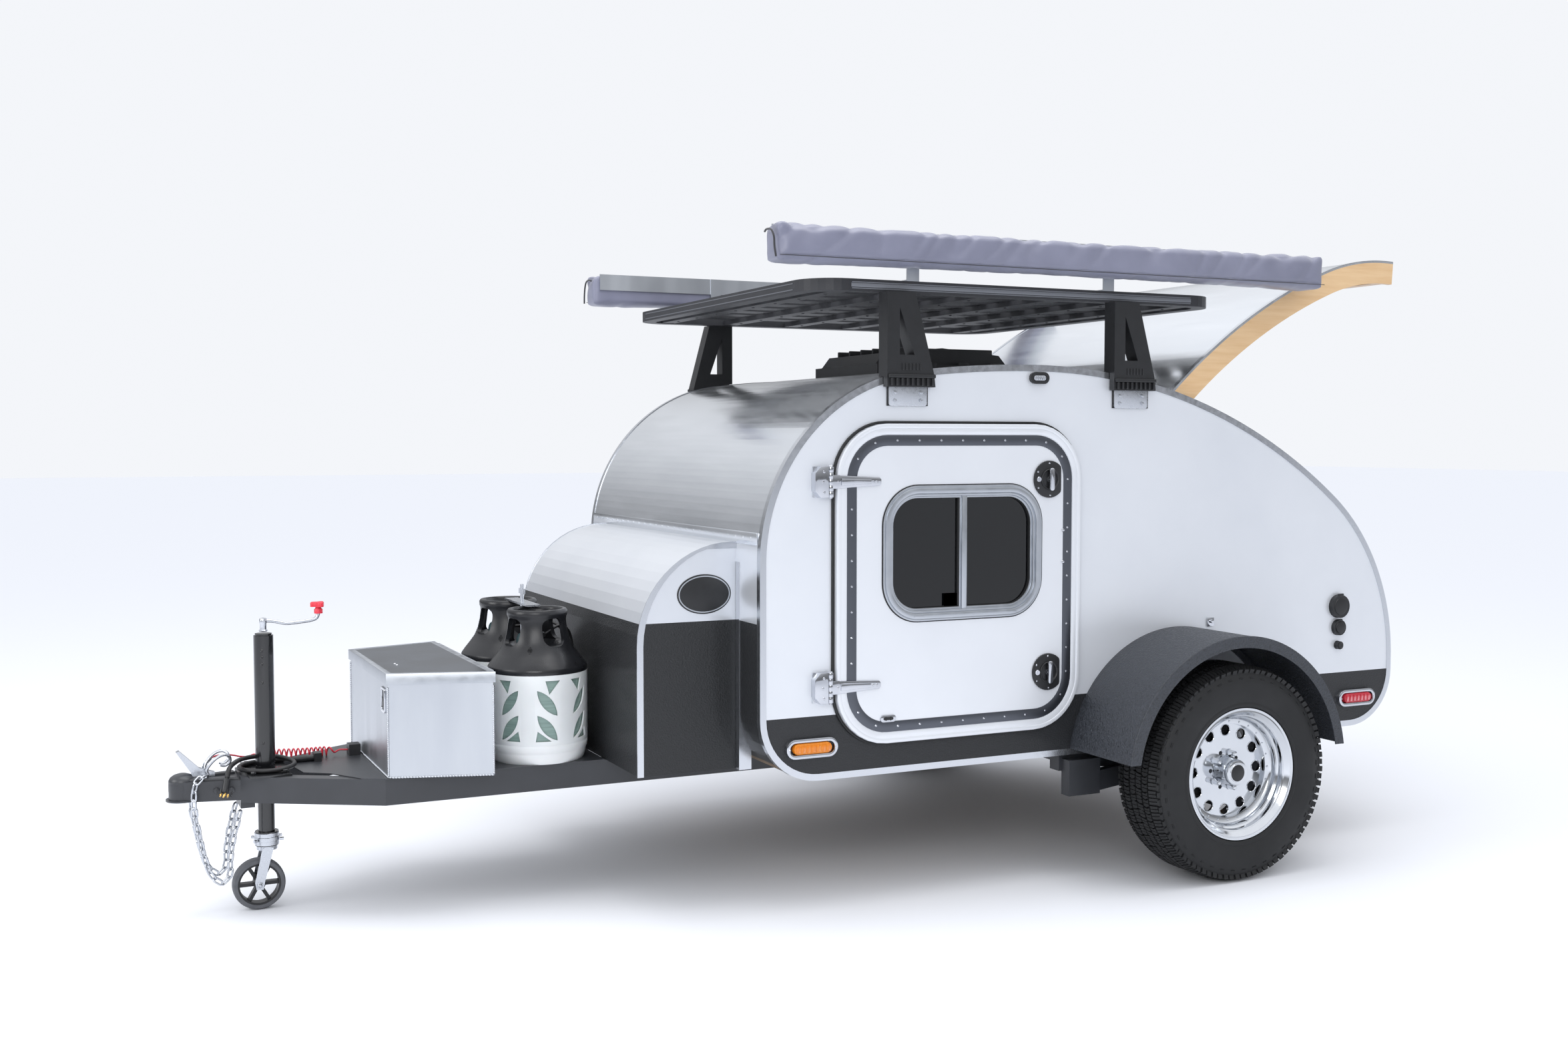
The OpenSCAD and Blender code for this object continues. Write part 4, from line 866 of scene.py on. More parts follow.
def makeDish(bm):
    centre = middle("left_rim").copy()
    centre.y = middle("left_tyre").y
    out = Vector((0, 1, 0))
    back = [(r + 0.0006 if i < 5 else r - 0.0012, y - 0.003) for i, (r, y) in enumerate(wheel["dish"])]
    lathe(bm, wheel["dish"] + back[::-1] + [wheel["dish"][0]], centre, out, 96)
    lathe(bm, wheel["cap"], centre, out, 48)
    for k in range(wheel["rivets"]):
        a = math.tau * k / wheel["rivets"]
        spot = centre + Vector((math.cos(a), 0, math.sin(a))) * wheel["rivetRing"] + out * 0.033
        dome(bm, spot, out, 0.0036, 0.003, 8)
    for k in range(wheel["studs"]):
        a = math.tau * (k + 0.5) / wheel["studs"]
        spot = centre + Vector((math.cos(a), 0, math.sin(a))) * wheel["studRing"]
        barrel(bm, spot + out * 0.0145, spot + out * 0.02, 0.012, 0.0105, 20)
        barrel(bm, spot + out * 0.02, spot + out * 0.042, 0.0095, 0.009, 6)
        dome(bm, spot + out * 0.042, out, 0.0088, 0.006, 12)
    for k in range(wheel["holes"]):
        a = math.tau * k / wheel["holes"]
        hole = centre + Vector((math.cos(a), 0, math.sin(a))) * wheel["holeRing"]
        lathe(bm, [(0.0168, 0.0135), (0.0168, 0.0158), (0.018, 0.0168), (0.0196, 0.0158), (0.019, 0.015),
                   (0.0168, 0.0135)], hole, out, 24)


def makeCapDisc(bm):
    centre = middle("left_tyre")
    lathe(bm, [(0.0, 0.0785), (0.024, 0.0785), (0.0265, 0.0775), (0.027, 0.0768), (0.0, 0.0765)], centre,
          (0, 1, 0), 32)


def makeWheels():
    bothSides(makeTyre, "TyreTread", "tyreRubber", "left_wheel", "right_wheel", 30,
              "{}_tyre")
    bothSides(makeDish, "WheelDish", "polishedAlloy", "left_wheel", "right_wheel", 35)
    bothSides(makeCapDisc, "WheelCapDisc", "mouldedPlastic", "left_wheel", "right_wheel")
    print("stage: wheels")


makeWheels()


# doors, windows, latches and hinges
door = {
    "corner": 0.17,
    "bead": 0.032,                  # width of the bright rolled edge
    "band": (0.034, 0.066),         # brushed band, from the door's edge in
    "rivets": 40,
    "hinge": (1.325, 0.778),        # axis of the hinges, ahead of the wheel and out
    "heights": (0.671, 1.276),      # of the two hinges and of the two latches
    "latch": 0.56,
    "bolts": [(0.505, 1.116), (0.505, 1.016)],
    "catch": (1.133, 0.566),        # ahead of the wheel, and height
    "plate": 0.058,                 # radius of a latch's round plate
    "strap": (0.02, 0.012, 0.165),  # a hinge strap's half widths and its length
}


def doorLoop(inset, y):
    low, high = corners("left_door")
    return atY(roundedBox(low.x + inset, low.z + inset, high.x - inset, high.z - inset,
                          max(door["corner"] - inset, 0.01), 12), y)


def makeDoorSeal(bm):
    ringOf(bm, doorLoop(-0.008, wallFace), doorLoop(-0.0008, wallFace), (0, 0.0085, 0), 0.002)


def makeDoorBead(bm):
    ringOf(bm, doorLoop(0.001, doorFace), doorLoop(0.014, doorFace), (0, 0.0045, 0), 0.002)
    ringOf(bm, doorLoop(0.013, doorFace), doorLoop(door["bead"], doorFace), (0, 0.0025, 0), 0.001)


def makeDoorBand(bm):
    ringOf(bm, doorLoop(door["band"][0], doorFace), doorLoop(door["band"][1], doorFace), (0, 0.0017, 0),
           0.0004)


def makeDoorRivets(bm):
    mid = sum(door["band"]) / 2
    for spot in alongLoop(doorLoop(mid, 0.7811), door["rivets"]):
        dome(bm, spot, (0, 1, 0), 0.0038, 0.0022, 8)


def makeHinges(bm):
    wide, narrow, reach = door["strap"]
    x, y = door["hinge"][0] + axleX, door["hinge"][1]
    for z in door["heights"]:
        tip = [(x - reach, z - narrow * 0.5), (x - reach + 0.005, z - narrow), (x - 0.012, z - wide),
               (x - 0.012, z + wide), (x - reach + 0.005, z + narrow), (x - reach, z + narrow * 0.5)]
        slabOf(bm, atY(tip, 0.7798), (0, 0.0065, 0), 0.0018)
        rib = [(x - reach + 0.035, z - narrow * 0.55), (x - 0.03, z - wide * 0.5),
               (x - 0.03, z + wide * 0.5), (x - reach + 0.035, z + narrow * 0.55)]
        slabOf(bm, atY(rib, 0.7855), (0, 0.005, 0), 0.0022)
        for k in (0.022, reach - 0.014, reach - 0.026):
            dome(bm, (x - k, 0.7862, z), (0, 1, 0), 0.0042, 0.0022, 10)
        for k in range(5):
            foot = z - 0.045 + k * 0.0181
            barrel(bm, (x, y, foot), (x, y, foot + 0.0172), 0.0092, sides=20, bevel=0.001)
        for end in (-1, 1):
            dome(bm, (x, y, z + end * 0.0456), (0, 0, end), 0.007, 0.0045, 14)
        slabOf(bm, atY([(x - 0.026, z - wide), (x - 0.002, z - wide), (x - 0.002, z + wide),
                        (x - 0.026, z + wide)],
                       0.779), (0, 0.0075, 0), 0.001)


def makeHingeLeaves(bm):
    x = door["hinge"][0] + axleX
    for z in door["heights"]:
        plate = [(x + 0.009, z - 0.046), (x + 0.036, z - 0.046), (x + 0.054, z - 0.026),
                 (x + 0.054, z + 0.026), (x + 0.036, z + 0.046), (x + 0.009, z + 0.046)]
        slabOf(bm, atY(plate, 0.7605), (0, 0.026, 0), 0.0025)
        for dz in (-0.03, 0.0, 0.03):
            dome(bm, (x + 0.028 - abs(dz) * 0.1, 0.7862, z + dz), (0, 1, 0), 0.0045, 0.0022, 10)


def latchPlate(x, z, radius, flat, y, steps=40):
    # a round plate whose side beside the band is cut straight
    loop = [(x + radius * math.cos(a), z + radius * math.sin(a)) for a in
            (math.tau * k / steps for k in range(steps))]
    return atY([(max(px, x - flat), pz) for px, pz in loop], y)


def makeLatchPlates(bm):
    x = door["latch"] + axleX
    for z in door["heights"]:
        r = door["plate"]
        slabOf(bm, latchPlate(x, z, r, r * 0.74, 0.7812), (0, 0.0055, 0), 0.0018)
        # the dished ring stands for the handle's recess, which is not cut into the door; its black is partly
        # the plate's own moulded plastic and partly painted shade of that recess
        lathe(bm, [(0.033, 0.0), (0.033, 0.0035), (0.0315, 0.005), (0.029, 0.0035), (0.027, -0.0005),
                   (0.0, -0.0015),
                   (0.0, -0.003), (0.033, -0.003), (0.033, 0.0)], (x, 0.7867, z), (0, 1, 0), 36)


def makeLatchHandles(bm):
    x = door["latch"] + axleX
    for z in door["heights"]:
        # the D handle stands upright on its stem, in the middle of the recess
        handle = [(x + up, z + over) for over, up in ovalOf(0, 0, 0.072, 0.017)]
        slabOf(bm, atY(handle, 0.7945), (0, 0.008, 0), 0.0032)
        barrel(bm, (x, 0.785, z), (x, 0.796, z), 0.0115, 0.0085, 20, 0.001)
        lathe(bm, [(0.0, 0.0), (0.0075, 0.0), (0.0085, -0.001), (0.0085, -0.006), (0.0, -0.006)],
              (x + 0.041, 0.7895, z), (0, 1, 0), 20)
        box(bm, (x + 0.0402, 0.789, z - 0.004), (x + 0.0418, 0.79, z + 0.004))
        for k in range(6):
            a = math.radians(28 + 60 * k)
            spot = Vector((x + 0.05 * math.cos(a), 0.7866, z + 0.05 * math.sin(a)))
            if spot.x > x - door["plate"] * 0.7:
                dome(bm, spot, (0, 1, 0), 0.0034, 0.0018, 8)
    # small bolts by the door's rear edge, and the oval catch near its lower front corner
    for px, pz in door["bolts"]:
        dome(bm, (px + axleX, 0.7815, pz), (0, 1, 0), 0.0058, 0.0035, 12)
    slabOf(bm, atY(ovalOf(door["catch"][0] + axleX, door["catch"][1], 0.054, 0.022), 0.78), (0, 0.0045, 0),
           0.0016)


def makeCatchSlots(bm):
    # the slot is not cut: a thin black oval and two black bars are laid on the catch as painted shade of the
    # opening
    slabOf(bm, atY(ovalOf(door["catch"][0] + axleX, door["catch"][1], 0.034, 0.009), 0.7846),
           (0, 0.0006, 0))
    for px in (1.125, 1.141):
        box(bm, (px + axleX - 0.0015, 0.7846, 0.56), (px + axleX + 0.0015, 0.786, 0.572), 0.0004)


pane = {
    "corner": 0.12,
    "steps": [(0.0, 0.008, doorFace, 0.0055), (0.007, 0.024, doorFace, 0.0095),
              (0.023, 0.032, 0.774, 0.009)],
    "gasket": (0.031, 0.04),
    "post": 0.868,                   # middle of the upright bar, from the wheel's axis
}


def paneLoop(inset, y):
    low, high = corners("left_door_window")
    return atY(roundedBox(low.x + inset, low.z + inset, high.x - inset, high.z - inset,
                          pane["corner"] - inset, 14), y)


def makeWindowFrame(bm):
    for outer, inner, y, depth in pane["steps"]:
        ringOf(bm, paneLoop(outer, y), paneLoop(inner, y), (0, depth, 0), 0.0016)
    ringOf(bm, paneLoop(0.0, 0.7442), paneLoop(0.036, 0.7442), (0, -0.0035, 0), 0.001)
    ringOf(bm, paneLoop(0.03, 0.7442), paneLoop(0.038, 0.7442), (0, 0.032, 0), 0.001)
    low, high = corners("left_door_window")
    x = pane["post"] + axleX
    box(bm, (x - 0.01, 0.756, low.z + 0.028), (x + 0.008, 0.78, high.z - 0.028), 0.0015)
    box(bm, (x + 0.008, 0.756, low.z + 0.028), (x + 0.014, 0.7745, high.z - 0.028), 0.001)
    # the two drain covers on the sliding pane's sill
    for px in (0.7, 1.03):
        slabOf(bm, atY(ovalOf(px + axleX, low.z + 0.0155, 0.036, 0.0065, 8), 0.7888), (0, 0.0012, 0),
               0.0004)


def makeWindowGasket(bm):
    low, high = corners("left_door_window")
    outer, inner = pane["gasket"]
    ringOf(bm, paneLoop(outer, 0.76), paneLoop(inner, 0.76), (0, 0.0135, 0), 0.002)
    ringOf(bm, paneLoop(-0.003, 0.7796), paneLoop(0.002, 0.7796), (0, 0.003, 0), 0.001)
    x = pane["post"] + axleX
    box(bm, (x - 0.016, 0.76, low.z + 0.032), (x - 0.01, 0.772, high.z - 0.032), 0.001)
    box(bm, (x + 0.014, 0.76, low.z + 0.032), (x + 0.019, 0.772, high.z - 0.032), 0.001)
    slabOf(bm, atY(ovalOf(x + 0.034, low.z + 0.06, 0.022, 0.034, 10), 0.764), (0, 0.006, 0), 0.002)


def makeWindowGlass(bm):
    slabOf(bm, paneLoop(0.034, 0.76), (0, 0.004, 0))


def makeDoors():
    parts = [
        (makeDoorBead, "DoorBead", "pearlAluminium", "trim_aluminium", None),
        # the band's dark colour is painted shade of its reflection
        (makeDoorBand, "DoorBand", "shadedBrushedAluminium", "trim_aluminium", None),
        (makeDoorRivets, "DoorRivets", "chromePlate", "chrome", None),
        (makeHinges, "DoorHinges", "chromePlate", "chrome", "{}_door_fittings"),
        (makeLatchPlates, "LatchPlates", "mouldedPlastic", "black_plastic", None),
        (makeLatchHandles, "LatchHandles", "chromePlate", "chrome", None),
        # the black slot pieces are painted shade of the catch's opening
        (makeCatchSlots, "CatchSlotShade", "mouldedPlastic", "black_plastic", None),
        (makeWindowFrame, "WindowFrame", "anodisedAluminium", "trim_aluminium", "{}_door_window"),
        (makeWindowGasket, "WindowGasket", "sealRubber", "black_plastic", None),
        (makeWindowGlass, "WindowGlass", "tintedGlass", "black_plastic", None),
    ]
    for build, name, finish, slot, gone in parts:
        bothSides(build, name, finish, "left_door_body", "right_door_body", 35, gone)
    bothSides(makeDoorSeal, "DoorSeal", "sealRubber", "trailer", "trailer")
    bothSides(makeHingeLeaves, "HingeLeaves", "chromePlate", "trailer", "trailer")
    print("stage: doors")


makeDoors()

# front storage box, its trims and the roof's rivet line
chest = {
    "badge": (1.646, 0.944, 0.172, 0.118),   # middle, width and height of the blank oval
    "rivetLine": 1.109,                      # height of the strip where the nose meets the box
    "corner": (1.516, 0.588),
}


def sheetRivets(bm, start, end, count, normal, radius=0.0034):
    start, end = Vector(start), Vector(end)
    for k in range(count):
        dome(bm, start.lerp(end, (k + 0.5) / count), normal, radius, radius * 0.55, 8)


def makeBadge(bm):
    x, z, wide, high = chest["badge"]
    outer = [Vector((x + axleX + wide / 2 * math.cos(a), 0.5842, z + high / 2 * math.sin(a)))
             for a in (math.tau * k / 48 for k in range(48))]
    slabOf(bm, outer, (0, 0.0045, 0), 0.0015)


def makeBadgeRim(bm):
    x, z, wide, high = chest["badge"]
    rings = [[Vector((x + axleX + (wide / 2 - d) * math.cos(a), 0.5886, z + (high / 2 - d) * math.sin(a)))
              for a in (math.tau * k / 48 for k in range(48))] for d in (0.004, 0.0075)]
    ringOf(bm, rings[0], rings[1], (0, 0.0009, 0), 0.0003)


def makeBoxTrim(bm):
    low, high = corners("storage_box_trim")
    # riveted angle up the corner between the box and the cabin
    x, y = chest["corner"][0] + axleX, chest["corner"][1]
    box(bm, (x, y - 0.001, low.z + 0.12), (x + 0.026, y + 0.002, high.z - 0.035), 0.0008)
    box(bm, (x - 0.0005, y, low.z + 0.12), (x + 0.0025, y + 0.026, high.z - 0.06), 0.0008)
    sheetRivets(bm, (x + 0.014, y + 0.002, low.z + 0.13), (x + 0.014, y + 0.002, high.z - 0.045), 12,
                (0, 1, 0))


def makeRivetStrip():
    bm = bmesh.new()
    x, z = 1.54 + axleX, chest["rivetLine"]
    box(bm, (x - 0.006, -0.735, z - 0.016), (x + 0.003, 0.735, z + 0.02), 0.001)
    sheetRivets(bm, (x + 0.003, -0.72, z + 0.004), (x + 0.003, 0.72, z + 0.004), 26, (1, 0, 0.1), 0.004)
    finishPiece(bm, "noseRivetStrip", "brightAluminium", "trailer")


def makeBoxes():
    bothSides(makeBadge, "Badge", "mouldedPlastic", "trailer", "trailer")
    bothSides(makeBadgeRim, "BadgeRim", "anodisedAluminium", "trailer", "trailer")
    bothSides(makeBoxTrim, "BoxTrim", "extrudedAluminium", "trailer", "trailer")
    makeRivetStrip()
    print("stage: storage box")


makeBoxes()

# side markers, side ports and rear lights
lamp = {
    "markers": [(1.38, 0.495), (-0.759, 0.495)],
    "size": (0.156, 0.046),
}


def makeMarkerRims(bm):
    wide, high = lamp["size"]
    for x, z in lamp["markers"]:
        x += axleX
        ringOf(bm, atY(ovalOf(x, z, wide + 0.014, high + 0.014), wallFace),
               atY(ovalOf(x, z, wide - 0.012, high - 0.012), wallFace), (0, 0.0135, 0), 0.004)
        for end in (-1, 1):
            dome(bm, (x + end * (wide / 2 - 0.004), 0.7735, z), (0, 1, 0), 0.0032, 0.002, 8)


def makeMarkerLens(bm, place):
    x, z = place[0] + axleX, place[1]
    wide, high = lamp["size"]
    slabOf(bm, atY(ovalOf(x, z, wide - 0.03, high - 0.014), wallFace), (0, 0.0172, 0), 0.004)
    for k in range(7):
        rib = x + (k - 3) * 0.0165
        box(bm, (rib - 0.0055, 0.7766, z - 0.0105), (rib + 0.0055, 0.7782, z + 0.0105), 0.0012)


def makeLamps():
    front, back = lamp["markers"]
    bothSides(makeMarkerRims, "MarkerRims", "chromePlate", "trailer", "trailer")
    bothSides(lambda bm: makeMarkerLens(bm, front), "AmberLens", "amberLens", "trailer", "trailer",
              35, "side_markers")
    bothSides(lambda bm: makeMarkerLens(bm, back), "SideRedLens", "redLens", "trailer", "trailer")
    print("stage: lamps")


makeLamps()

# gas bottles: a carved white shell round a fibre-wound core, a moulded collar, the valve and its hose
bottle = {
    "at": (2.03, 0.1655, 0.418),
    "core": [(0.0, 0.03), (0.118, 0.03), (0.144, 0.048), (0.1455, 0.06), (0.1455, 0.27), (0.0, 0.27)],
    "shell": [(0.12, 0.0), (0.1385, 0.0), (0.142, 0.006), (0.1475, 0.03), (0.148, 0.034), (0.15, 0.036),
              (0.152, 0.048), (0.1525, 0.056), (0.1512, 0.058), (0.1512, 0.06), (0.1525, 0.062),
              (0.1525, 0.2715), (0.1475, 0.2715), (0.1475, 0.052), (0.12, 0.03), (0.12, 0.0)],
    "collar": [(0.0, 0.2722), (0.152, 0.2722), (0.1524, 0.276), (0.1524, 0.286), (0.15, 0.29),
               (0.14, 0.304), (0.124, 0.324), (0.109, 0.345), (0.0985, 0.37), (0.0915, 0.4),
               (0.0885, 0.425), (0.0895, 0.437), (0.0925, 0.443), (0.0925, 0.456), (0.088, 0.4615),
               (0.079, 0.4615), (0.0745, 0.456), (0.0735, 0.44), (0.076, 0.41), (0.082, 0.38),
               (0.09, 0.356), (0.07, 0.34), (0.03, 0.332), (0.0, 0.332)],
    "leafRows": (0.113, 0.188),
    "leaf": (0.1, 0.017),     # length and half width of a leaf-shaped opening
    "columns": 4,
    "hose": [(2026, 158, 790), (2012, 146, 791), (1994, 128, 794), (1976, 110, 799), (1956, 92, 806),
             (1934, 74, 810), (1912, 58, 806), (1893, 44, 792), (1881, 34, 770), (1874, 26, 740),
             (1871, 20, 700),
             (1870, 17, 650), (1870, 16, 590), (1870, 16, 530), (1870, 16, 470), (1870, 16, 419)],
    "hoseWidth": 9 * mm,
}


def carved(solid, cutters):
    # the solid without what the cutters cover
    made = []
    for label, bm in (("solid", solid), ("cutters", cutters)):
        bmesh.ops.remove_doubles(bm, verts=bm.verts, dist=0.00002)
        bmesh.ops.recalc_face_normals(bm, faces=bm.faces)
        made.append(linked(label, meshOf(bm, label)))
    cut = made[0].modifiers.new("carve", "BOOLEAN")
    cut.operation, cut.solver, cut.object = "DIFFERENCE", "MANIFOLD", made[1]
    shape = baked(made[0])
    for piece in made:
        bpy.data.objects.remove(piece)
    result = bmesh.new()
    result.from_mesh(shape)
    return result


def onRound(angle, radius, points):
    # points (along the round, height) laid on a plane that touches a cylinder at the angle
    out = Vector((math.cos(angle), math.sin(angle), 0))
    along = Vector((-math.sin(angle), math.cos(angle), 0))
    return [out * radius + along * u + Vector((0, 0, v)) for u, v in points], out


def leafOutline(lean, height):
    length, half = bottle["leaf"]
    points = []
    for k in range(20):
        t = (k % 10) / 10
        u = length * (t - 0.5)
        w = half * math.sin(math.pi * t) ** 0.8
        if k >= 10:
            u, w = -u, -w
        c, s = math.cos(lean), math.sin(lean)
        points.append((u * c - w * s, u * s + w * c + height))
    return points


def makeShellCutters():
    bm = bmesh.new()
    step = math.tau / bottle["columns"]
    for k in range(bottle["columns"] * 2):
        angle = (k + 0.5) * step / 2 + math.radians(62)
        sign = 1 if k % 2 else -1
        shapes = [leafOutline(sign * math.radians(128), row) for row in bottle["leafRows"]]
        shapes.append([(sign * -0.006, 0.256), (sign * 0.04, 0.256), (sign * 0.006, 0.214)])
        shapes.append([(sign * 0.012, 0.072), (sign * -0.036, 0.072), (sign * -0.03, 0.104)])
        for shape in shapes:
            points, out = onRound(angle, 0.13, [(-u, v) for u, v in shape])
            slabOf(bm, points, out * 0.04)
    return bm


def makeCollarCutters():
    bm = bmesh.new()
    for k in range(4):
        arch = roundedBox(-0.037, 0.352, 0.037, 0.436, 0.026, 5)
        points, out = onRound(math.radians(17 + 90 * k), 0.04, arch)
        slabOf(bm, points, out * 0.12)
        slot, out = onRound(math.radians(62 + 90 * k), 0.095, ovalOf(0, 0.334, 0.016, 0.026, 6))
        slabOf(bm, slot, (out + Vector((0, 0, 0.6))) * 0.06)
    return bm


def atBottles(shape):
    # one bottle's mesh set down on both sides of the deck
    bm = bmesh.new()
    x, y, z = bottle["at"]
    mesh = meshOf(shape, "bottle")
    for side in (1, -1):
        stamp(bm, mesh, Matrix.Translation((x + axleX, y * side, z)))
    return bm


def turned(profile, steps=72):
    bm = bmesh.new()
    lathe(bm, profile, (0, 0, 0), (0, 0, 1), steps)
    return bm


def makeBottles():
    finishPiece(atBottles(carved(turned(bottle["shell"]), makeShellCutters())), "bottleShells",
                "bottleShell", "trailer", 40, ["gas_bottles"])
    finishPiece(atBottles(turned(bottle["core"])), "bottleCores", "fibreWinding", "trailer")
    finishPiece(atBottles(carved(turned(bottle["collar"]), makeCollarCutters())), "bottleCollars",
                "collarPlastic", "trailer", 40, ["gas_collars"])
    bm = bmesh.new()
    barrel(bm, (0, 0, 0.332), (0, 0, 0.346), 0.017, sides=6, bevel=0.001)
    barrel(bm, (0, 0, 0.345), (0, 0, 0.376), 0.0115, sides=20)
    barrel(bm, (0, 0, 0.362), (0.034, 0.012, 0.362), 0.0088, sides=20, bevel=0.001)
    barrel(bm, (0.012, 0.0042, 0.362), (0.022, 0.0077, 0.362), 0.0125, sides=6, bevel=0.001)
    barrel(bm, (0, 0, 0.362), (-0.012, -0.026, 0.366), 0.007, sides=16, bevel=0.0008)
    finishPiece(atBottles(bm), "bottleValves", "machinedBrass", "trailer", 35, ["gas_valves"])
    bm = bmesh.new()
    lathe(bm, [(0.0, -0.016), (0.02, -0.016), (0.024, -0.012), (0.0255, 0.0), (0.028, 0.002),
               (0.028, 0.006),
               (0.022, 0.01), (0.01, 0.016), (0.0, 0.017)], (0.05, 0.0176, 0.362), (0.94, 0.33, 0), 28)
    finishPiece(atBottles(bm), "regulators", "regulatorPaint", "trailer")
    bm = bmesh.new()
    lathe(bm, [(0.0, 0.372), (0.0215, 0.372), (0.0235, 0.375), (0.0235, 0.384), (0.0205, 0.388),
               (0.0, 0.3885)],
          (0, 0, 0), (0, 0, 1), 32)
    for k in range(14):
        a = math.tau * k / 14
        barrel(bm, (0.0235 * math.cos(a), 0.0235 * math.sin(a), 0.3735),
               (0.0235 * math.cos(a), 0.0235 * math.sin(a), 0.386), 0.0022, sides=8)
    finishPiece(atBottles(bm), "valveWheels", "mouldedPlastic", "trailer")
    route = fromAxle(bottle["hose"])
    for label, side in (("left", 1), ("right", -1)):
        points = [(p.x, p.y * side, p.z) for p in route]
        hose = curvePiece(label + "GasHose", points, bottle["hoseWidth"] / 2, "cableJacket", "trailer",
                          bezier=True)
    print("stage: bottles")


makeBottles()


# tongue box: welded sheet, its lid's folded rim, latch and rivets
toolBox = {
    "back": (2.228, 0.382), "front": (2.515, 0.294),   # half widths at each end
    "height": (0.418, 0.693, 0.723),                   # foot, rim and top of the lid
    "latch": (0.238, 0.64, 0.052, 0.074),             # out from the middle, height, width and height
    "weld": 0.0034,
}


def boxPlan(grow, z):
    back, front = toolBox["back"], toolBox["front"]
    return [Vector((x + axleX, y, z)) for x, y in
            ((back[0] - grow, -back[1] - grow), (back[0] - grow, back[1] + grow),
             (front[0] + grow, front[1] + grow), (front[0] + grow, -front[1] - grow))]


def makeToolBox():
    foot, rim, top = toolBox["height"]
    bm = bmesh.new()
    # beads of weld: up the four corners, in stitches round the foot
    for corner in boxPlan(0.0005, foot):
        for k in range(42):
            dome(bm, corner + Vector((0, 0, 0.008 + k * 0.0062)), (0, 0, 1), toolBox["weld"], 0.0045, 6)
    plan = boxPlan(0.0005, foot)
    for a, b in zip(plan, plan[1:] + plan[:1]):
        count = int((b - a).length / 0.0085)
        for k in range(count):
            dome(bm, a.lerp(b, (k + 0.5) / count) + Vector((0, 0, 0.002)), (b - a), toolBox["weld"],
                 0.005, 6)
    finishPiece(bm, "toolBoxWelds", "zincPlate", "trailer", 60)
    bm = bmesh.new()
    ringOf(bm, boxPlan(0.0058, rim - 0.0005), boxPlan(0.0035, rim - 0.0005), (0, 0, top - rim + 0.001),
           0.0008)
    ringOf(bm, boxPlan(0.0056, top - 0.0005), boxPlan(-0.012, top - 0.0005), (0, 0, 0.0012), 0.0005)
    finishPiece(bm, "lidRim", "anodisedAluminium", "tongue_lid")
    bm = bmesh.new()
    for y in (0.088, 0.118):
        dome(bm, (2.452 + axleX, y, top), (0, 0, 1), 0.0045, 0.002, 10)
    y, z, wide, high = toolBox["latch"]
    x = toolBox["front"][0] + axleX
    face = [Vector((x, y + dy, z + dz)) for dy,
            dz in roundedBox(-wide / 2, -high / 2, wide / 2, high / 2, 0.007, 4)]
    hole = [Vector((x, y + dy, z + dz)) for dy, dz in
            roundedBox(-wide / 2 + 0.008, -high / 2 + 0.008, wide / 2 - 0.008, high / 2 - 0.008, 0.004, 4)]
    ringOf(bm, face, hole, (0.0045, 0, 0), 0.0014)
    finishPiece(bm, "toolBoxLatch", "chromePlate", "trailer")
    bm = bmesh.new()
    box(bm, (x - 0.0005, y - wide / 2 + 0.008, z - high / 2 + 0.008), (x + 0.001, y + wide / 2 - 0.008,
        z + high / 2 - 0.008))
    box(bm, (x + 0.0008, y - 0.013, z - 0.02), (x + 0.004, y + 0.013, z + 0.006), 0.0015)
    finishPiece(bm, "toolBoxPaddle", "mouldedPlastic", "trailer")
    print("stage: tongue box")


makeToolBox()


# tongue jack: crank with its red knob, clamp bolts and the spoked caster
jack = {
    "at": (2.82, 0.831),        # ahead of the wheel, and the foot of the crank's boss
    "crank": [(0, 0.03), (-18, 0.03), (-40, 0.026), (-66, 0.02), (-100, 0.022), (-130, 0.025), (-150, 0.03),
              (-158, 0.04), (-160, 0.052)],
    "caster": (0.025, 0.076),    # how far the wheel trails, and its radius
    "ball": 3.054,               # the coupler's ball, ahead of the wheel
}


def makeCrank():
    x, z = jack["at"][0] + axleX, jack["at"][1]
    line = smoothLine([(x + dx * mm, 0, z + dz) for dx, dz in jack["crank"]], 4)
    crank = curvePiece("crankArm", line, 0.0056, "zincPlate", "trailer")
    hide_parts("jack_crank")
    bm = bmesh.new()
    lathe(bm, [(0.0, 0.0), (0.012, 0.0), (0.013, 0.003), (0.0095, 0.006), (0.0095, 0.022), (0.011, 0.026),
               (0.011, 0.034), (0.009, 0.039), (0.0, 0.041)], (x, 0, z - 0.0005), (0, 0, 1), 28)
    barrel(bm, (x, -0.014, z + 0.03), (x, 0.014, z + 0.03), 0.0032, sides=10)
    finishPiece(bm, "crankBoss", "zincPlate", "trailer")
    # the knob: a stem and three lobes that run into each other
    bm = bmesh.new()
    kx = x - 0.16
    lathe(bm, [(0.0, 0.046), (0.0125, 0.046), (0.0125, 0.058), (0.009, 0.062), (0.008, 0.067),
               (0.0, 0.067)],
          (kx, 0, z), (0, 0, 1), 24)
    lobes = []
    for k in range(60):
        a = math.tau * k / 60
        r = 0.0178 + 0.0056 * math.cos(3 * a + 0.6)
        lobes.append(Vector((kx + r * math.cos(a), r * math.sin(a), z + 0.066)))
    slabOf(bm, lobes, (0, 0, 0.015), 0.0042)
    finishPiece(bm, "crankKnob", "redNylon", "trailer", 50)


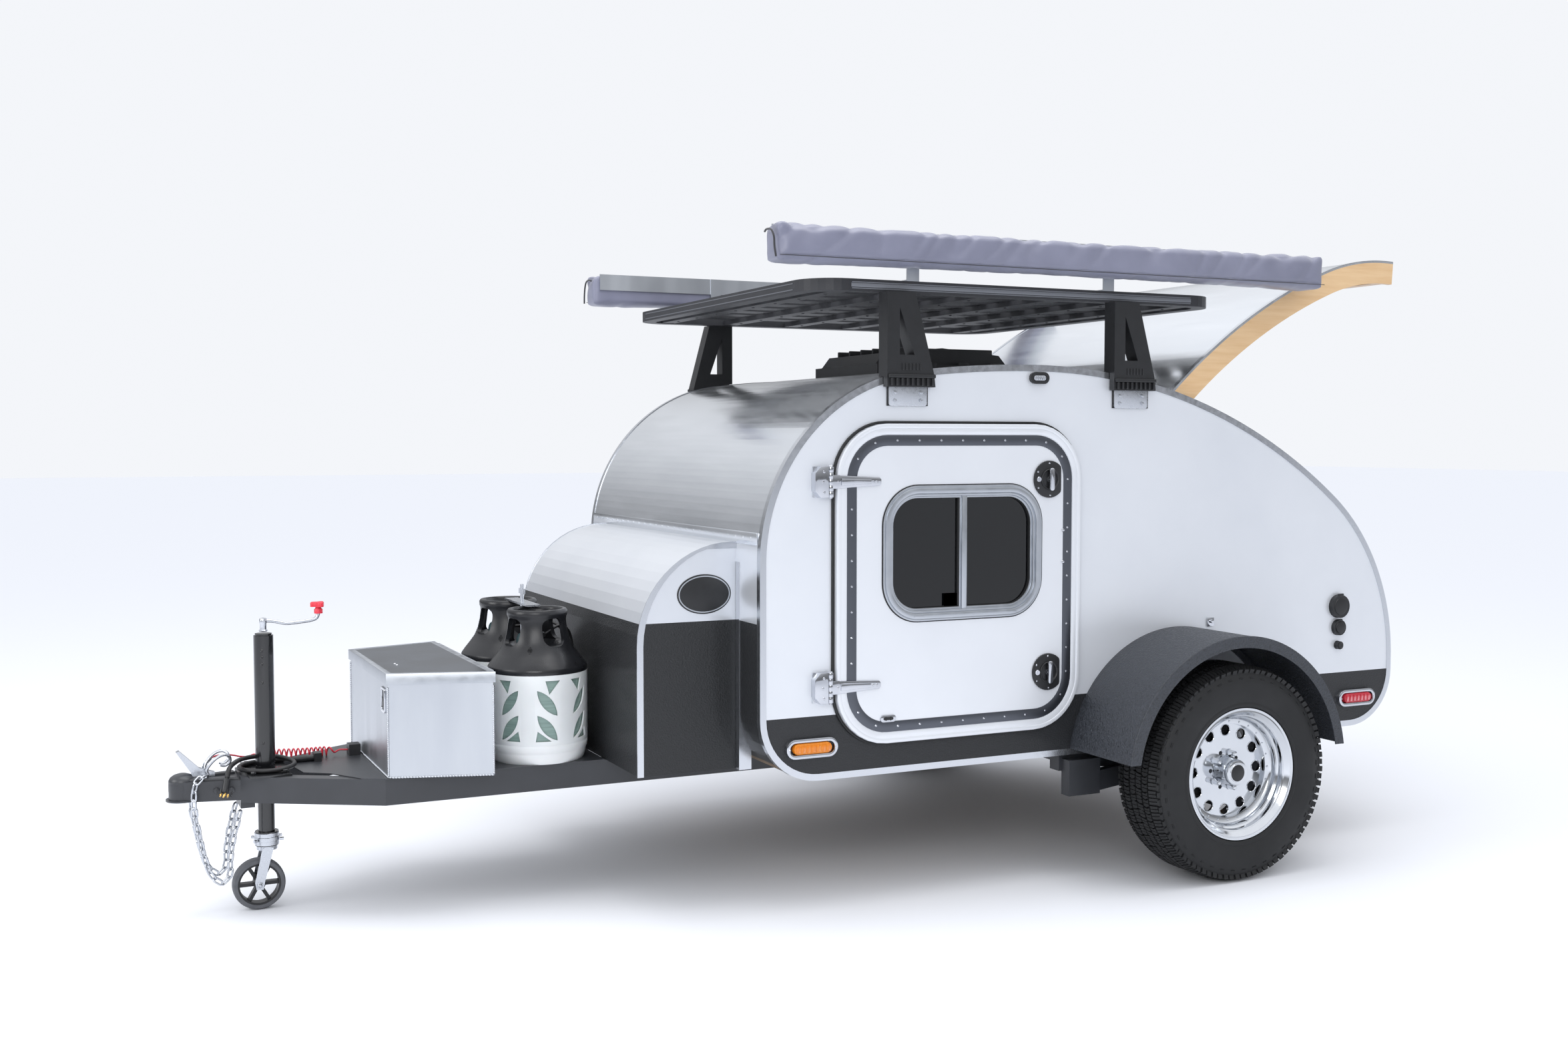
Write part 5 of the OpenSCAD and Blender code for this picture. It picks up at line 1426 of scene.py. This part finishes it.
def makeJackBolts():
    # dimples down the tube, the plate's bolts, and the clamp round the leg's foot
    x, z = jack["at"][0] + axleX, jack["at"][1]
    bm = bmesh.new()
    for dz in (0.055, 0.075, 0.095, 0.15, 0.33):
        dome(bm, (x + 0.009, 0.0285, z - dz), (0.3, 1, 0), 0.004, 0.002, 10)
    for sx in (-0.045, 0.045):
        for sy in (-0.085, 0.085):
            barrel(bm, (x + sx, sy, 0.4215), (x + sx, sy, 0.429), 0.0085, sides=6, bevel=0.0008)
    finishPiece(bm, "jackBolts", "glossEnamel", "trailer")
    low = corners("jack_leg")[0]
    bm = bmesh.new()
    lathe(bm, [(0.0345, 0.0), (0.0355, 0.001), (0.0355, 0.012), (0.0375, 0.013), (0.0375, 0.024),
               (0.0355, 0.025),
               (0.0355, 0.036), (0.0345, 0.037), (0.0345, 0.0)], (x, 0, low.z + 0.002), (0, 0, 1), 40)
    for side in (-1, 1):
        barrel(bm, (x - 0.034, side * 0.022, low.z + 0.019), (x - 0.046, side * 0.024, low.z + 0.019),
               0.0048, sides=6)
        barrel(bm, (x + 0.03, side * 0.026, low.z + 0.019), (x + 0.04, side * 0.032, low.z + 0.019), 0.0048,
               sides=6)
    finishPiece(bm, "legClamp", "zincPlate", "jack_leg_body")


def makeCaster():
    # the caster's tread, hub and six spokes
    cx, r = jack["at"][0] + axleX + jack["caster"][0], jack["caster"][1]
    bm = bmesh.new()
    tread = [(r - 0.014, -0.0195), (r - 0.004, -0.0195), (r - 0.001, -0.0155), (r, -0.01), (r, 0.01),
             (r - 0.001, 0.0155), (r - 0.004, 0.0195), (r - 0.014, 0.0195), (r - 0.014, -0.0195)]
    lathe(bm, tread, (cx, 0, r), (0, 1, 0), 56)
    finishPiece(bm, "casterTread", "casterRubber", "caster_wheel_body", 35, ["caster_wheel"])
    bm = bmesh.new()
    lathe(bm, [(r - 0.02, -0.0175), (r - 0.0141, -0.0185), (r - 0.0141, 0.0185), (r - 0.02, 0.0175),
               (r - 0.018, 0.0), (r - 0.02, -0.0175)], (cx, 0, r), (0, 1, 0), 48)
    lathe(bm, [(0.0064, -0.0215), (0.015, -0.0215), (0.0165, -0.02), (0.0165, 0.02), (0.015, 0.0215),
               (0.0064, 0.0215), (0.0064, -0.0215)], (cx, 0, r), (0, 1, 0), 28)
    for k in range(6):
        turn = Matrix.Translation((cx, 0, r)) @ Matrix.Rotation(math.tau * (k + 0.5) / 6, 4, "Y")
        block(bm, (0.01, 0.024, r - 0.034), turn @ Matrix.Translation((0, 0, 0.5 * (r - 0.004))))
    finishPiece(bm, "casterHub", "mouldedPlastic", "caster_wheel_body")
    bm = bmesh.new()
    for side in (-1, 1):
        barrel(bm, (cx, side * 0.03, r), (cx, side * 0.0355, r), 0.0095, sides=6, bevel=0.0008)
        dome(bm, (cx, side * 0.0355, r), (0, side, 0), 0.006, 0.004, 12)
    finishPiece(bm, "casterBolt", "zincPlate", "caster_body")


def makeCoupler():
    # the dome over the ball, the two ribs behind it and the bolts through the sides
    bm = bmesh.new()
    bx = jack["ball"] + axleX
    lathe(bm, [(0.0, 0.0215), (0.012, 0.0205), (0.024, 0.0165), (0.033, 0.01), (0.0375, 0.002),
               (0.0384, -0.012),
               (0.0384, -0.03), (0.0376, -0.03), (0.0376, -0.001), (0.0, -0.001)], (bx, 0, 0.405),
          (0, 0, 1), 40)
    for sy in (-1, 1):
        rib = [Vector((bx - 0.15, sy * 0.06, 0.4045)), Vector((bx - 0.01, sy * 0.03, 0.4045)),
               Vector((bx - 0.01, sy * 0.014, 0.4045)), Vector((bx - 0.15, sy * 0.03, 0.4045))]
        slabOf(bm, rib, (0, 0, 0.008), 0.004)
    finishPiece(bm, "couplerNose", "powderCoat", "trailer", 45)
    bm = bmesh.new()
    for px in (2.925, 2.965):
        for sy in (-1, 1):
            half = 0.075 - (px - 2.9) / 0.154 * 0.037
            barrel(bm, (px + axleX, sy * (half - 0.002), 0.378), (px + axleX, sy * (half + 0.007), 0.378),
                   0.0095, sides=6, bevel=0.0008)
    finishPiece(bm, "couplerBolts", "powderCoat", "trailer")


makeCrank()
makeJackBolts()
makeCaster()
makeCoupler()
print("stage: jack and coupler")

# soft goods: the two rolled awnings in their bags and the mattress
awning = {
    "voxel": 0.01,
    "pressure": 3.0,
    "swell": 0.006,      # how far the cloth may stand out from the bag's box
    "fold": 0.0095,      # depth of the creases
    "seam": 0.022,       # height of the seam above the bag's lower edge
}


def inflated(bm, voxel, pressure, swell):
    # a cover blown up from inside: evenly remeshed, run as cloth, and no point moved past the swell
    scene = bpy.context.scene
    cover = linked("cover", meshOf(bm, "cover"))
    remesh = cover.modifiers.new("even", "REMESH")
    remesh.mode, remesh.voxel_size = "VOXEL", voxel
    shape = baked(cover)
    cover.modifiers.clear()
    cover.data = shape
    still = [v.co.copy() for v in shape.vertices]
    cloth = cover.modifiers.new("cloth", "CLOTH")
    cloth.settings.use_pressure = True
    cloth.settings.uniform_pressure_force = pressure
    cloth.settings.effector_weights.gravity = 0
    for frameNumber in range(1, 17):
        scene.frame_set(frameNumber)
    shape = baked(cover)
    cover.modifiers.clear()
    scene.frame_set(1)
    for v, old in zip(shape.vertices, still):
        move = v.co - old
        if move.length > swell:
            v.co = old + move * (swell / move.length)
    bpy.data.objects.remove(cover)
    result = bmesh.new()
    result.from_mesh(shape)
    return result


def makeAwnings():
    low, high = corners("awning_bags")
    inner = 0.7605
    edge = awning["swell"] + 0.001
    bm = bmesh.new()
    box(bm, (low.x + edge, inner + 0.0012, low.z + edge), (high.x - edge, high.y - edge, high.z - edge),
        0.01, 2)
    bag = inflated(bm, awning["voxel"], awning["pressure"], awning["swell"])
    bmesh.ops.recalc_face_normals(bag, faces=bag.faces)
    for v in bag.verts:
        v.co.y = max(v.co.y, inner + 0.0008)
        # creases lean back from the top edge, deepest there, and a tuck runs along the seam
        slant = v.co.x + 0.75 * (v.co.z - high.z)
        crease = 1 - abs(noise.noise(Vector((slant * 9.5, v.co.z * 4, v.co.y * 5)))) * 3.4
        ripple = noise.noise(Vector((v.co.x * 34, v.co.z * 26, 7.0)))
        rise = (v.co.z - low.z) / (high.z - low.z)
        deep = awning["fold"] * max(0.0, crease) ** 2 * (0.25 + 0.75 * rise) + 0.0012 * ripple
        tuck = math.exp(-((v.co.z - low.z - awning["seam"]) / 0.004) ** 2) * 0.0022
        if v.co.y > inner + 0.006:
            v.co -= v.normal * (deep + tuck)
    shape = meshOf(bag, "bag")
    pair = bmesh.new()
    for side in (1, -1):
        stamp(pair, shape, Matrix.Diagonal((1, side, 1, 1)))
    bags = finishPiece(pair, "awningBags", "awningVinyl", "trailer", 180, ["awning_bags"])
    smooth = bags.modifiers.new("smooth", "SUBSURF")
    smooth.levels = smooth.render_levels = 1
    # the taped seam along each bag and the strap over its front end
    for label, side in (("left", 1), ("right", -1)):
        seam = [Vector((low.x + 0.01 + k * (high.x - low.x - 0.02) / 60, side * (high.y - 0.0035),
                        low.z + awning["seam"])) for k in range(61)]
        curvePiece(label + "BagSeam", seam, 0.0011, "bindingTape", "trailer")
        strap = smoothLine([(high.x - 0.001, side * (inner + 0.012), high.z - 0.03),
                            (high.x + 0.0015, side * (inner + 0.03), high.z - 0.026),
                            (high.x + 0.002, side * (inner + 0.06), high.z - 0.03),
                            (high.x + 0.0015, side * (inner + 0.078), high.z - 0.05),
                            (high.x + 0.002, side * (inner + 0.084), high.z - 0.08),
                            (high.x + 0.0005, side * (inner + 0.09), high.z - 0.108)], 6)
        curvePiece(label + "BagStrap", strap, 0.003, "bindingTape", "trailer")
    print("stage: awnings")


bed = {"voxel": 0.022, "pressure": 4.0, "swell": 0.012, "channels": 5}


def makeMattress():
    low, high = corners("mattress")
    bm = bmesh.new()
    edge = bed["swell"] + 0.002
    box(bm, (low.x + edge, low.y + edge, low.z + 0.003), (high.x - edge, high.y - edge, high.z - edge),
        0.02, 3)
    pad = inflated(bm, bed["voxel"], bed["pressure"], bed["swell"])
    for v in pad.verts:
        v.co.z = max(v.co.z, low.z + 0.001)
        # stitched channels across the bed
        share = (v.co.x - low.x) / (high.x - low.x) * bed["channels"]
        groove = math.exp(-((share - round(share)) / 0.035) ** 2)
        if v.co.z > low.z + 0.06 and 0 < round(share) < bed["channels"]:
            v.co.z -= 0.01 * groove
    mattress = finishPiece(pad, "mattressPad", "mattressCover", "trailer", 180,
                           ["mattress"])
    smooth = mattress.modifiers.new("smooth", "SUBSURF")
    smooth.levels = smooth.render_levels = 1
    for z, tag in ((low.z + 0.008, "Lower"), (high.z - 0.01, "Upper")):
        ring = [Vector((x, y, z)) for x, y in
                roundedBox(low.x + 0.006, low.y + 0.006, high.x - 0.006, high.y - 0.006, 0.03, 5)]
        curvePiece("mattressPiping" + tag, ring, 0.0035, "bindingTape", "trailer",
                   cyclic=True)
    print("stage: mattress")


makeAwnings()
makeMattress()

# rack: inset strips on the rails, plank ribs, legs with their fins and feet
rack = {
    "legs": (1.06, 0.236),
    "foot": 1.556,          # height of a leg's foot
    "face": 0.788,          # outer face of the legs
    "fins": 9,
    "planks": 9,
    "screws": (0.072, 0.245, 0.42, 0.6),   # out from the middle, under the planks
}


def makeRackStrips(bm):
    low, high = corners("rack_platform")
    y = high.y
    for z in (low.z + 0.0085, low.z + 0.0265):
        box(bm, (low.x + 0.13, y - 0.0008, z - 0.0014), (high.x - 0.13, y + 0.001, z + 0.0014), 0.0004)
    box(bm, (low.x + 0.128, y - 0.0008, low.z + 0.012), (high.x - 0.128, y + 0.0005, low.z + 0.0235),
        0.0003)


def makeRackRibs():
    low, high = corners("rack_platform")
    bm = bmesh.new()
    for i in range(rack["planks"]):
        y = (i - 4) * (high.y - low.y - 0.16) / rack["planks"]
        for dy in (-0.034, -0.017, 0.0, 0.017, 0.034):
            box(bm, (low.x + 0.05, y + dy - 0.003, high.z - 0.0065),
                (high.x - 0.05, y + dy + 0.003, high.z - 0.0048))
    for i in range(6):
        x = low.x + 0.12 + i * (high.x - low.x - 0.24) / 5
        for side in (-1, 1):
            for dy in rack["screws"]:
                dome(bm, (x, side * dy, low.z + 0.0022), (0, 0, -1), 0.006, 0.003, 8)
    finishPiece(bm, "plankRibs", "rackPowderCoat", "trailer")
    bm = bmesh.new()
    for end, x in ((1, high.x), (-1, low.x)):
        for z in (low.z + 0.0085, low.z + 0.0265):
            box(bm, (x - 0.0008 * end - 0.0004, low.y + 0.13, z - 0.0014),
                (x + 0.001 * end, high.y - 0.13, z + 0.0014))
    finishPiece(bm, "railGrooves", "rackInset", "trailer")


def makeLegParts(bm):
    for x in rack["legs"]:
        x += axleX
        y, z = rack["face"], rack["foot"]
        for k in range(rack["fins"]):
            fin = x - 0.07 + k * 0.14 / (rack["fins"] - 1)
            box(bm, (fin - 0.0035, y - 0.006, z + 0.004), (fin + 0.0035, y + 0.0075, z + 0.026), 0.0015)
        box(bm, (x - 0.08, y - 0.004, z + 0.026), (x + 0.08, y + 0.0085, z + 0.038), 0.003)
        for k in range(6):
            slit = x - 0.03 + k * 0.012
            box(bm, (slit - 0.0028, y - 0.001, z + 0.05), (slit + 0.0028, y + 0.0022, z + 0.07), 0.0008)


def makeLegPlates(bm):
    for x in rack["legs"]:
        x += axleX
        slabOf(bm, atY(roundedBox(x - 0.066, 1.5, x + 0.066, 1.566, 0.008, 4), 0.7638), (0, 0.003, 0),
               0.0008)
        for dx, dz in ((-0.045, 0.016), (0.045, 0.016), (-0.045, 0.04), (0.045, 0.04)):
            barrel(bm, (x + dx, 0.7665, 1.5 + dz), (x + dx, 0.7708, 1.5 + dz), 0.0058, sides=6,
                   bevel=0.0006)
            dome(bm, (x + dx, 0.7708, 1.5 + dz), (0, 1, 0), 0.0034, 0.0022, 8)


def makeRack():
    bothSides(makeRackStrips, "RackStrips", "rackInset", "trailer", "trailer")
    makeRackRibs()
    bothSides(makeLegParts, "LegFins", "mouldedPlastic", "trailer", "trailer")
    bothSides(makeLegPlates, "LegPlates", "zincPlate", "trailer", "trailer")
    print("stage: rack")


makeRack()


def makeVent():
    low, high = corners("roof_vent")
    bm = bmesh.new()
    for k in range(5):
        y = low.y + 0.06 + k * (high.y - low.y - 0.12) / 4
        box(bm, (low.x + 0.06, y - 0.005, high.z - 0.03), (high.x - 0.06, y + 0.005, high.z - 0.0005),
            0.003)
    for x in (low.x + 0.012, high.x - 0.012):
        for k in range(8):
            y = low.y + 0.035 + k * (high.y - low.y - 0.07) / 7
            dome(bm, (x, y, low.z + 0.044), (0, 0, 1), 0.005, 0.0024, 8)
    for side in (-1, 1):
        for k in range(4):
            x = low.x + 0.08 + k * (high.x - low.x - 0.16) / 3
            box(bm, (x - 0.02, side * 0.226 - 0.006, low.z + 0.03),
                (x + 0.02, side * 0.226 + 0.006, low.z + 0.052), 0.003)
    finishPiece(bm, "ventRibs", "mouldedPlastic", "trailer")
    print("stage: vent")


port = {
    "column": -0.672,                                        # behind the wheel's axis
    "caps": [(0.82, 0.04), (0.746, 0.027), (0.684, 0.014)],  # height and radius
    "porch": (0.59, 1.591),                                 # the porch light, ahead of the axis and up
}


def makePorts():
    bm = bmesh.new()
    x = port["column"] + axleX
    for z, r in port["caps"]:
        lathe(bm, [(0.0, 0.0185), (r * 0.55, 0.019), (r * 0.72, 0.0175), (r * 0.78, 0.014),
                   (r * 0.9, 0.0135),
                   (r * 0.99, 0.011), (r + 0.0012, 0.0), (0.0, 0.0)], (x, wallFace, z), (0, 1, 0), 36)
        if r > 0.02:
            box(bm, (x - r * 0.3, 0.77, z + r * 0.86), (x + r * 0.3, 0.777, z + r * 1.12), 0.002)
            for a in (45, 135, 225, 315):
                c, s = math.cos(math.radians(a)), math.sin(math.radians(a))
                dome(bm, (x + r * 0.88 * c, 0.7738, z + r * 0.88 * s), (0, 1, 0), 0.0028, 0.0016, 8)
    finishPiece(bm, "portCaps", "mouldedPlastic", "trailer")
    # porch light under the roof's edge: a black moulded bezel round a ribbed lens in zinc plate
    bm = bmesh.new()
    lx, lz = port["porch"][0] + axleX, port["porch"][1]
    ringOf(bm, atY(ovalOf(lx, lz, 0.07, 0.037), 0.769), atY(ovalOf(lx, lz, 0.05, 0.019), 0.769),
           (0, 0.0045, 0), 0.0016)
    finishPiece(bm, "porchLightRim", "mouldedPlastic", "trailer")
    bm = bmesh.new()
    slabOf(bm, atY(ovalOf(lx, lz, 0.046, 0.016), 0.769), (0, 0.0038, 0), 0.0015)
    for k in range(5):
        ridge = lx - 0.016 + k * 0.008
        box(bm, (ridge - 0.0014, 0.7725, lz - 0.006), (ridge + 0.0014, 0.7736, lz + 0.006))
    finishPiece(bm, "porchLens", "zincPlate", "trailer")
    print("stage: ports")


rear = {
    "lamps": (0.66, 0.6186),                                # out from the middle, and height
    "rim": [(0.033, 0.055, 0.008), (0.028, 0.05, 0.005)],  # half width, half height and corner
    "plate": (0.152, 0.077, 0.6136),                        # half width, half height and height
}


def makeRearLamps():
    back = corners("rear_lights")[0].x
    bm = bmesh.new()
    # ribbed lens over each lamp
    wide, z = rear["lamps"]
    for side in (-1, 1):
        for k in range(9):
            rib = z - 0.044 + k * 0.011
            box(bm, (back - 0.0012, side * wide - 0.0255, rib - 0.0042),
                (back + 0.002, side * wide + 0.0255, rib + 0.0042), 0.0012)
    finishPiece(bm, "rearLensRibs", "redLens", "trailer")
    bm = bmesh.new()
    for side in (-1, 1):
        outer, inner = ([Vector((back + 0.004, side * wide + dy, z + dz)) for dy, dz in
                         roundedBox(-w, -h, w, h, r, 4)] for w, h, r in rear["rim"])
        ringOf(bm, outer, inner, (0.016, 0, 0), 0.002)
    finishPiece(bm, "rearLampRims", "chromePlate", "trailer")
    bm = bmesh.new()
    w, h, z = rear["plate"]
    slabOf(bm, [Vector((back + 0.015, dy, z + dz)) for dy, dz in roundedBox(-w, -h, w, h, 0.01, 4)],
           (0.0012, 0, 0), 0.0004)
    for dy in (-0.1, 0.1):
        for dz in (-0.062, 0.062):
            dome(bm, (back + 0.015, dy, z + dz), (-1, 0, 0), 0.0052, 0.0025, 10)
    finishPiece(bm, "blankPlate", "pearlAluminium", "trailer")
    print("stage: rear lamps")


fender = {
    "centre": (0.03, 0.355),     # of its arc: ahead of the wheel, and height
    "radius": 0.4285,
    "clip": (-0.105, 0.79),
}


def makeTrimBeads():
    # the fender's rolled lip, and the chrome clip on the wall above its crown
    high = corners("left_fender")[1]

    def lip(bm):
        centre = Vector((fender["centre"][0] + axleX, 0, fender["centre"][1]))
        arc = []
        for k in range(61):
            a = math.radians(8.0 + 164.0 * k / 60)
            arc.append(centre + Vector((fender["radius"] * math.cos(a), high.y - 0.004,
                                        fender["radius"] * math.sin(a))))
        for a, b in zip(arc, arc[1:]):
            barrel(bm, a, b, 0.0038, sides=8)

    bothSides(lip, "FenderLip", "bedliner", "trailer", "trailer", 60)

    def clip(bm):
        x, z = fender["clip"][0] + axleX, fender["clip"][1]
        box(bm, (x - 0.014, 0.7605, z - 0.012), (x + 0.014, 0.766, z + 0.018), 0.002)
        barrel(bm, (x, 0.766, z + 0.006), (x, 0.774, z + 0.006), 0.0062, sides=16, bevel=0.001)

    bothSides(clip, "FenderClip", "chromePlate", "trailer", "trailer")
    print("stage: fenders")


makeVent()
makePorts()
makeRearLamps()
makeTrimBeads()
